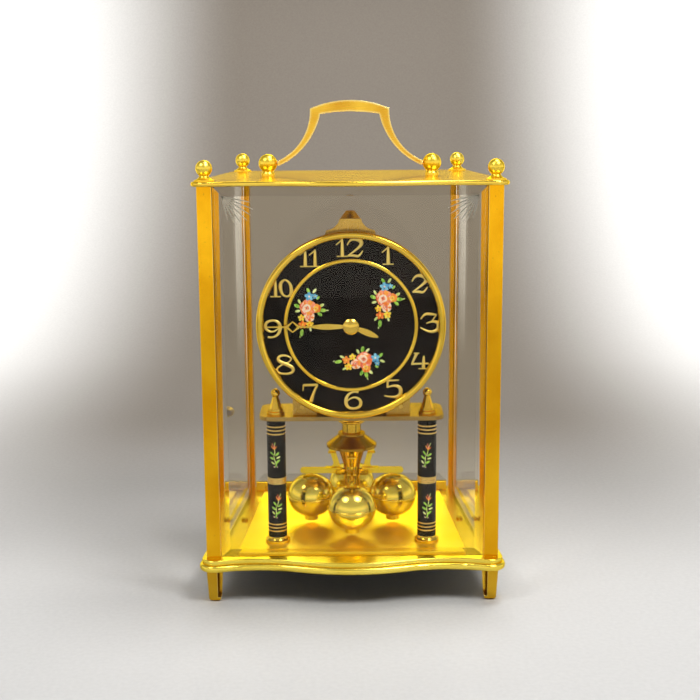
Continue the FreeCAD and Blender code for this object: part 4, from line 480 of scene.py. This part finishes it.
# Plate nuts: four slotted brass nuts on the pillars' ends, which hold the back plate. Their faces are turned
# and their slots are cut for a screwdriver.
nut_radius, nut_height = 2.8 * MM, 1.5 * MM
nut_places = ((-27.0, 104.0), (27.0, 104.0), (-24.0, 182.0), (24.0, 182.0))
plate_nuts = bmesh.new()
for x, z in nut_places:
    slotted_head(plate_nuts, nut_radius, nut_height, (x * MM, z * MM, 0))
bmesh.ops.rotate(plate_nuts, verts=plate_nuts.verts, matrix=Matrix.Rotation(math.radians(-90), 3, "X"))
bmesh.ops.scale(plate_nuts, verts=plate_nuts.verts, vec=(1.0, 1.0, -1.0))
bmesh.ops.translate(plate_nuts, verts=plate_nuts.verts, vec=(0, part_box("back_plate")[1].y, 0))
new_piece("plate_nuts", plate_nuts, "case", "movement_brass", screw_brass)

# Dial: a sheet-metal disc, enamelled black, with dust in the gloss. A cast brass bezel and an inner ring
# frame the hour track, with raised numerals between them.
dial_black, tree, shader = new_material("dial_black")
depth_tone = tones(tree, noise(tree, scale=30.0), (0.002, 0.0015, 0.0015), (0.010, 0.006, 0.005))
dust = spread(tree, noise(tree, scale=1500.0, detail=1.0), low=0.0, high=0.55, start=0.74, stop=0.80)
dust_tone = tones(tree, noise(tree, scale=60.0), (0.20, 0.18, 0.15), (0.35, 0.33, 0.28))
gloss = spread(tree, noise(tree, scale=70.0, detail=6.0), low=0.18, high=0.34)
coat(tree, shader, blended(tree, dust, depth_tone, dust_tone), gloss)
shader.inputs["Specular IOR Level"].default_value = 0.07
relief(tree, shader, noise(tree, scale=700.0), depth=4e-6)
dress(dial_black, "dial_plate")
bezel_brass = brass(
    "bezel_brass", (0.84, 0.55, 0.04), (0.95, 0.70, 0.09), roughness=0.18, grain=(250.0, 1500.0, 250.0),
)
dress(bezel_brass, "dial_bezel", "dial_ring")

# Numerals: upright figures of cast brass with rounded faces, thick in the stems and fine in the turns,
# riveted to the dial between the two rings.
figures = {
    "0": [[(-0.4, 4.9, 0.7), (-2.6, 3.9, 1.5), (-3.2, 0.6, 1.9), (-2.2, -3.4, 1.2), (0.6, -4.9, 0.7),
           (2.8, -3.6, 1.4), (3.2, -0.4, 1.8), (2.2, 3.6, 1.1), (-0.4, 4.9, 0.7)]],
    "1": [[(0.3, 4.9, 0.5), (0.3, 3.6, 1.6), (0.3, -4.5, 1.7)], [(0.3, 4.3, 0.8), (-3.0, 1.6, 0.5)],
          [(-2.6, -4.6, 0.6), (3.2, -4.6, 0.6)]],
    "2": [[(-4.1, 1.4, 0.5), (-3.0, 4.4, 0.9), (1.6, 4.8, 1.9), (4.2, 2.6, 2.0), (1.6, -0.6, 0.9),
           (-3.8, -4.3, 0.6)], [(-3.9, -4.3, 0.8), (-0.6, -4.0, 1.3), (2.4, -5.0, 1.0), (4.2, -1.6, 0.5)]],
    "3": [[(-4.4, 1.9, 0.5), (-2.8, 4.9, 1.1), (1.6, 4.6, 1.3), (4.0, 4.2, 0.6)],
          [(3.9, 4.2, 0.5), (1.6, 0.9, 0.6)],
          [(-1.4, -0.4, 0.5), (2.4, 1.2, 1.0), (5.6, -0.6, 1.9), (4.4, -4.6, 1.6), (-0.6, -5.2, 1.0),
           (-4.6, -2.6, 0.5)]],
    "4": [[(-1.9, 4.4, 1.5), (-4.6, -1.6, 0.9)], [(-3.6, 4.5, 0.6), (-0.4, 4.5, 0.6)],
          [(-5.0, -1.7, 1.0), (4.8, -1.4, 0.8)], [(2.2, 3.0, 0.6), (2.0, 1.6, 1.6), (1.9, -4.2, 1.6)],
          [(-0.9, -4.4, 0.6), (4.2, -4.4, 0.6)]],
    "5": [[(-2.7, 4.3, 1.0), (3.6, 4.6, 0.6)], [(-2.5, 4.3, 1.0), (-2.6, 0.5, 1.0)],
          [(-2.7, 0.5, 0.6), (0.6, 2.0, 1.0), (4.6, 0.6, 1.8), (4.6, -3.6, 1.7), (0.8, -5.2, 1.0),
           (-4.2, -4.0, 0.5)]],
    "6": [[(2.9, 4.2, 1.1), (0.4, 4.9, 0.7), (-3.4, 2.6, 1.3), (-4.4, -1.6, 1.8), (-2.8, -4.6, 1.3),
           (0.6, -5.2, 1.0), (3.8, -4.0, 1.4), (4.4, -0.6, 1.5), (1.4, 1.6, 0.9), (-1.8, 0.8, 0.6),
           (-3.5, -1.0, 0.5)]],
    "7": [[(-3.9, 4.2, 1.2), (4.2, 4.3, 1.2)], [(-3.8, 4.4, 0.7), (-4.1, 1.0, 0.5)],
          [(3.9, 4.2, 0.9), (1.6, 0.4, 1.2), (0.4, -4.9, 1.8)]],
    "8": [[(3.6, 3.4, 0.7), (1.4, 5.2, 0.8), (-3.2, 5.0, 1.1), (-4.0, 2.0, 1.5), (1.2, 0.0, 1.7),
           (5.0, -2.2, 1.6), (3.6, -5.2, 1.1), (-3.2, -5.2, 0.9), (-5.0, -2.4, 0.8), (-1.6, 0.0, 0.7),
           (3.0, 1.6, 0.6), (3.6, 3.4, 0.7)]],
}
figures["9"] = [[(-x, -z, width) for x, z, width in stroke] for stroke in figures["6"]]
hour_track = {
    "12": (-1.2, 41.7, 0.98, 3.5), "1": (19.6, 37.5, 1.0, 0.0), "2": (36.6, 22.2, 0.98, 0.0),
    "3": (41.7, 1.4, 1.0, 0.0), "4": (37.0, -19.5, 0.95, 0.0), "5": (22.1, -34.5, 1.0, 0.0),
    "6": (1.0, -40.6, 0.98, 0.0), "7": (-22.1, -36.5, 0.98, 0.0), "8": (-35.6, -21.0, 0.98, 0.0),
    "9": (-41.8, -1.8, 0.96, 0.0), "10": (-37.4, 20.3, 0.95, 2.9), "11": (-21.7, 36.3, 0.95, 2.6),
}
dial_low, dial_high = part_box("dial_plate")
dial_middle, dial_face = (dial_low.z + dial_high.z) / 2, -46.0 * MM
numeral_flatness, stroke_radius = 0.55, 0.6 * MM
strokes = bpy.data.curves.new("figure_strokes", "CURVE")
strokes.dimensions = "3D"
strokes.bevel_depth = stroke_radius
strokes.bevel_resolution = 4
strokes.resolution_u = 8
strokes.use_fill_caps = True
for figure, (across, up, size, apart) in hour_track.items():
    for place, digit in enumerate(figure):
        shift = (place * 2 - 1) * apart if len(figure) > 1 else 0.0
        for stroke in figures[digit]:
            spline = strokes.splines.new("NURBS")
            spline.points.add(len(stroke) - 1)
            for point, (x, z, width) in zip(spline.points, stroke):
                point.co = ((across + shift + x * size) * MM, 0.0, (up + z * size) * MM, 1.0)
                point.radius = width * size
            spline.order_u = min(3, len(stroke))
            spline.use_endpoint_u = True
pattern = bpy.data.objects.new("figure_strokes", strokes)
numeral_mesh = bpy.data.meshes.new_from_object(pattern)
bpy.data.objects.remove(pattern)
numerals = bmesh.new()
numerals.from_mesh(numeral_mesh)
bpy.data.meshes.remove(numeral_mesh)
bmesh.ops.scale(numerals, verts=numerals.verts, vec=(1.0, numeral_flatness, 1.0))
bmesh.ops.translate(numerals, verts=numerals.verts, vec=(0, dial_face, dial_middle))


def smooth_faces(mesh):
    """Shades every face of a bmesh smoothly."""
    for face in mesh.faces:
        face.smooth = True


smooth_faces(numerals)
numeral_brass = brass(
    "numeral_brass", (0.92, 0.68, 0.14), (0.99, 0.84, 0.28), roughness=0.3, grain=(700.0, 200.0, 700.0),
    edge=0.0,
)
new_piece("dial_numerals", numerals, "case", "trim_brass", numeral_brass)

# Painted sprays of the dial: three garden bunches, each of three roses with small yellow, orange and blue
# flowers and leaves, in the same thick enamel as the columns' sprigs.
petal_step = 0.01


def petals(mesh, x, z, count, first, out, long, wide, paint, lift):
    """A ring of dabs round a point, each one pointing outwards and a little over the one before it."""
    made = []
    for number in range(count):
        turn = first + number * 360 / count
        way = math.radians(turn)
        made += dab(
            mesh, x + out * math.cos(way), z + out * math.sin(way), long, wide, turn, paint,
            lift + petal_step * number,
        )
    return made


def rose(mesh, x, z, size, outer, inner):
    """A full rose: outer petals, deeper ones in between, inner ones, pale strokes and a heart."""
    return [
        *petals(mesh, x, z, 5, 20, size * 0.30, size * 0.44, size * 0.56, outer, 0.0),
        *petals(mesh, x, z, 5, 56, size * 0.30, size * 0.34, size * 0.30, ORANGE, 0.03),
        *petals(
            mesh, x - size * 0.05, z + size * 0.06, 4, 35, size * 0.17, size * 0.14, size * 0.34, inner, 0.10,
        ),
        *dab(mesh, x - size * 0.26, z + size * 0.20, size * 0.12, size * 0.36, 140, BLUSH, 0.12),
        *dab(mesh, x + size * 0.10, z + size * 0.36, size * 0.10, size * 0.30, 75, BLUSH, 0.12),
        *dab(mesh, x, z, size * 0.20, size * 0.14, 30, SALMON, 0.16),
    ]


def blossom(mesh, x, z, size, petal, heart):
    """A small flower of five petals round a heart."""
    return [
        *petals(mesh, x, z, 5, 18, size * 0.3, size * 0.48, size * 0.36, petal, 0.02),
        *dab(mesh, x, z, size * 0.22, size * 0.22, 0, heart, 0.08),
    ]


leaf_places = [
    (-12.2, 0.4, 4.0, 1.9, 8, GREEN), (-10.0, 2.9, 2.8, 1.3, 150, PALE_GREEN),
    (10.6, 2.6, 3.2, 1.6, 40, GREEN), (11.4, -0.6, 3.0, 1.4, -25, PALE_GREEN),
    (1.2, 6.4, 3.4, 1.9, 75, GREEN), (3.8, 5.8, 2.8, 1.3, 40, PALE_GREEN),
    (-1.4, 5.4, 2.8, 1.4, 115, PALE_GREEN), (2.4, -7.4, 4.0, 2.0, -80, GREEN),
    (0.0, -6.4, 3.2, 1.7, -120, GREEN), (4.8, -6.2, 3.0, 1.6, -45, PALE_GREEN),
    (-9.2, -3.6, 2.4, 1.1, -150, PALE_GREEN), (8.2, -3.4, 2.4, 1.2, -30, GREEN),
    (3.0, -9.8, 1.6, 0.6, -70, PALE_GREEN), (-14.6, 0.8, 1.2, 0.6, 20, PALE_GREEN),
]
rose_places = [
    (1.8, 0.6, 8.8, SALMON, BLUSH), (-2.8, -1.4, 5.6, BLUSH, SALMON), (2.6, -4.0, 4.8, ORANGE, YELLOW),
]
blossom_places = [
    (7.8, 1.4, 4.8, BLUE, BLUSH), (8.6, -1.6, 2.8, BLUE, YELLOW), (-4.4, 2.6, 3.6, YELLOW, SALMON),
    (-7.8, 1.0, 4.4, ORANGE, YELLOW), (-6.8, -2.6, 4.2, YELLOW, ORANGE),
]
spray_places = ((-22.8, 8.0, 75), (18.0, 13.0, 80), (5.3, -19.4, 3))


def spray(mesh, x, z, turn):
    """A bunch along its own X: roses in the middle, small flowers and leaves outward."""
    made = []
    for places, paint_one in ((leaf_places, dab), (rose_places, rose), (blossom_places, blossom)):
        for place in places:
            made += paint_one(mesh, *place)
    bmesh.ops.rotate(mesh, verts=made, matrix=Matrix.Rotation(math.radians(-turn), 3, "Y"))
    bmesh.ops.translate(mesh, verts=made, vec=(x, 0, z))


sprays = bmesh.new()
for place in spray_places:
    spray(sprays, *place)
bmesh.ops.scale(sprays, verts=sprays.verts, vec=(MM, MM, MM))
bmesh.ops.translate(sprays, verts=sprays.verts, vec=(0, dial_face, dial_middle))
new_piece("dial_sprays", sprays, "case", "dial_enamel", *paints)

# Hands: stamped from brass sheet, the long one pierced with an open diamond and the short one a plain leaf. A
# domed nut holds them on their pipes.
hand_brass = brass(
    "hand_brass", (0.84, 0.57, 0.07), (0.96, 0.72, 0.15), roughness=0.22, grain=(60.0, 900.0, 1200.0),
    edge=0.0001,
)
dress(hand_brass, "minute_hand", "hour_hand", "hand_nut")

# Pendulum: a turned brass spindle with a broad regulating disc of darker brass, four stamped levers
# and four spun balls that are polished until they mirror the floor.
spindle_brass = brass(
    "spindle_brass", (0.62, 0.36, 0.02), (0.84, 0.56, 0.06), roughness=0.14, grain=(60.0, 60.0, 1800.0),
)
dress(spindle_brass, "pendulum_spindle")
disc_brass = brass(
    "disc_brass", (0.40, 0.22, 0.02), (0.62, 0.37, 0.04), roughness=0.2, grain=(80.0, 80.0, 1800.0),
)
dress(disc_brass, "regulating_disc")
lever_brass = brass(
    "lever_brass", (0.88, 0.62, 0.03), (0.97, 0.75, 0.07), roughness=0.2, grain=(900.0, 900.0, 40.0),
    edge=0.0002,
)
ball_brass = brass(
    "ball_brass", (0.94, 0.71, 0.08), (0.99, 0.84, 0.18), roughness=0.2, grain=(50.0, 50.0, 3000.0),
    edge=0.0001,
)
ball_numbers = (1, 2, 3, 4)
for number in ball_numbers:
    dress(lever_brass, f"pendulum_lever_{number}")
    dress(ball_brass, f"pendulum_ball_{number}")

# Seams of the balls: a half-round bead of brass where each ball's upper shell is rolled over its lower one.
# It runs round the ball's widest place and stands a little proud of it.
seam_rise, seam_sink, seam_radius = 14.5 * MM, 0.25 * MM, 0.6 * MM
for number in ball_numbers:
    ball = f"pendulum_ball_{number}"
    axis, radius = upright_axis(ball)
    seam_center = axis + Vector((0, 0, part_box(ball)[0].z + seam_rise))
    seam = bmesh.new()
    section = bmesh.ops.create_circle(seam, radius=seam_radius, segments=12)["verts"]
    bmesh.ops.rotate(seam, verts=section, matrix=Matrix.Rotation(math.radians(90), 3, "X"))
    bmesh.ops.translate(seam, verts=section, vec=seam_center + Vector((radius - seam_sink, 0, 0)))
    bmesh.ops.spin(
        seam, geom=section + seam.edges[:], cent=seam_center, axis=(0, 0, 1), angle=math.tau, steps=96,
        use_merge=True,
    )
    smooth_faces(seam)
    new_piece(f"ball_seam_{number}", seam, f"lever_{number}", "pendulum_brass", ball_brass)

# Floor and backdrop: one pale sheet of paper that lies on the table and sweeps up behind the clock. Its
# colour carries a painted shadow, dusky right behind the clock, and painted light, brighter to both sides,
# where the side lamps also fall.
sweep_half, sweep_front, sweep_back, sweep_top, sweep_bend = 3.0, -1.2, 1.3, 2.6, 0.7
sheet = bmesh.new()
corners = [
    sheet.verts.new((-sweep_half, y, z))
    for y, z in ((sweep_front, 0.0), (sweep_back, 0.0), (sweep_back, sweep_top))
]
profile = [sheet.edges.new(pair) for pair in zip(corners, corners[1:])]
drawn = bmesh.ops.extrude_edge_only(sheet, edges=profile)["geom"]
far_side = [g for g in drawn if isinstance(g, bmesh.types.BMVert)]
bmesh.ops.translate(sheet, verts=far_side, vec=(sweep_half * 2, 0, 0))
fold = [e for e in sheet.edges if len(e.link_faces) == 2]
bmesh.ops.bevel(sheet, geom=fold, offset=sweep_bend, affect="EDGES", segments=24, profile=0.5, material=-1)
bmesh.ops.recalc_face_normals(sheet, faces=sheet.faces)
smooth_faces(sheet)
backdrop_mesh = bpy.data.meshes.new("backdrop")
sheet.to_mesh(backdrop_mesh)
sheet.free()
backdrop = bpy.data.objects.new("backdrop", backdrop_mesh)
bpy.context.scene.collection.objects.link(backdrop)
paper, tree, shader = new_material("backdrop_paper")
tooth = noise(tree, scale=400.0)
place = tree.nodes.new("ShaderNodeTexCoord")
axes = tree.nodes.new("ShaderNodeSeparateXYZ")
tree.links.new(place.outputs["Object"], axes.inputs["Vector"])
aside = tree.nodes.new("ShaderNodeMath")
aside.operation = "ABSOLUTE"
tree.links.new(axes.outputs["X"], aside.inputs[0])
behind = spread(tree, axes.outputs["Y"], low=0.0, high=1.0, start=-0.12, stop=0.38)
middle = spread(tree, aside.outputs["Value"], low=1.0, high=0.0, start=0.16, stop=0.46)
pale = tones(tree, tooth, (0.60, 0.595, 0.585), (0.64, 0.635, 0.625))
# Painted light for the paper's sides and a painted shadow for its middle, behind the clock.
painted_light_tone = tones(tree, tooth, (0.80, 0.79, 0.77), (0.86, 0.85, 0.83))
painted_shadow_tone = tones(tree, tooth, (0.15, 0.125, 0.10), (0.17, 0.145, 0.115))
painted_light_and_shade = blended(tree, middle, painted_light_tone, painted_shadow_tone)
tree.links.new(blended(tree, behind, pale, painted_light_and_shade), shader.inputs["Base Color"])
shader.inputs["Roughness"].default_value = 0.6
backdrop_mesh.materials.append(paper)

# Studio: soft lamps from overhead, the front right, the front left and behind, and one on each side of the
# backdrop. The surround is pale near the horizon and darker above, which the metal mirrors.


def soft_lamp(name, place, aim, width, power):
    """A square lamp at a place, turned towards an aim."""
    data = bpy.data.lights.new(name, "AREA")
    data.shape = "SQUARE"
    data.size = width
    data.energy = power
    lamp = bpy.data.objects.new(name, data)
    lamp.location = place
    lamp.rotation_euler = (Vector(aim) - Vector(place)).to_track_quat("-Z", "Y").to_euler()
    bpy.context.scene.collection.objects.link(lamp)


clock_middle = (0.0, 0.0, 0.13)
soft_lamp("overhead_lamp", (0.2, 0.05, 1.1), clock_middle, width=0.3, power=4.5)
soft_lamp("key_lamp", (0.65, -0.65, 1.45), clock_middle, width=0.5, power=14.0)
soft_lamp("fill_lamp", (-0.75, -0.65, 1.35), clock_middle, width=0.5, power=6.5)
soft_lamp("back_lamp", (0.0, 1.1, 0.78), clock_middle, width=0.5, power=3.0)
for name, side in (("left_backdrop_lamp", -1), ("right_backdrop_lamp", 1)):
    soft_lamp(name, (side * 1.0, 0.45, 0.6), (side * 0.9, 1.3, 0.35), width=0.5, power=9.0)


def warm_white(tone):
    """A slightly warm white of a given brightness."""
    return tone, tone * 0.97, tone * 0.92, 1.0


horizon_tone, middle_tone, zenith_tone = 1.2, 0.5, 0.35
horizon_top, middle_height = 0.2, 0.4
diffuse_strength = 0.14
world = bpy.data.worlds.new("studio")
world.use_nodes = True
sky = world.node_tree
toward = sky.nodes.new("ShaderNodeTexCoord")
axes = sky.nodes.new("ShaderNodeSeparateXYZ")
bands = sky.nodes.new("ShaderNodeValToRGB")
sky.links.new(toward.outputs["Generated"], axes.inputs["Vector"])
sky.links.new(axes.outputs["Z"], bands.inputs["Fac"])
sky.links.new(bands.outputs["Color"], sky.nodes["Background"].inputs["Color"])
for height, tone in ((horizon_top, horizon_tone), (middle_height, middle_tone)):
    bands.color_ramp.elements.new(height).color = warm_white(tone)
for edge, tone in ((0, horizon_tone), (-1, zenith_tone)):
    bands.color_ramp.elements[edge].color = warm_white(tone)
path = sky.nodes.new("ShaderNodeLightPath")
seen = path.outputs["Is Camera Ray"]
for way in ("Is Glossy Ray", "Is Transmission Ray"):
    either = sky.nodes.new("ShaderNodeMath")
    either.operation = "MAXIMUM"
    sky.links.new(seen, either.inputs[0])
    sky.links.new(path.outputs[way], either.inputs[1])
    seen = either.outputs["Value"]
strength = sky.nodes.new("ShaderNodeMapRange")
strength.inputs["To Min"].default_value = diffuse_strength
sky.links.new(seen, strength.inputs["Value"])
sky.links.new(strength.outputs["Result"], sky.nodes["Background"].inputs["Strength"])
bpy.context.scene.world = world

# Camera: a little above the top plate, square to the front and looking down a little, as in the photograph.
# It stands near enough for the posts to lean outwards at the top.
focal_length, sensor_width = 62.23, 36.0
camera_place = (-0.0006, -0.6848, 0.2583)
camera_tilt, camera_roll = math.radians(79.21), -0.0062
camera_data = bpy.data.cameras.new("camera")
camera_data.lens = focal_length
camera_data.sensor_width = sensor_width
camera = bpy.data.objects.new("camera", camera_data)
camera.matrix_world = (
    Matrix.Translation(camera_place)
    @ Matrix.Rotation(camera_tilt, 4, "X")
    @ Matrix.Rotation(camera_roll, 4, "Z")
)
bpy.context.scene.collection.objects.link(camera)
bpy.context.scene.camera = camera
bpy.context.scene.view_settings.view_transform = "Standard"
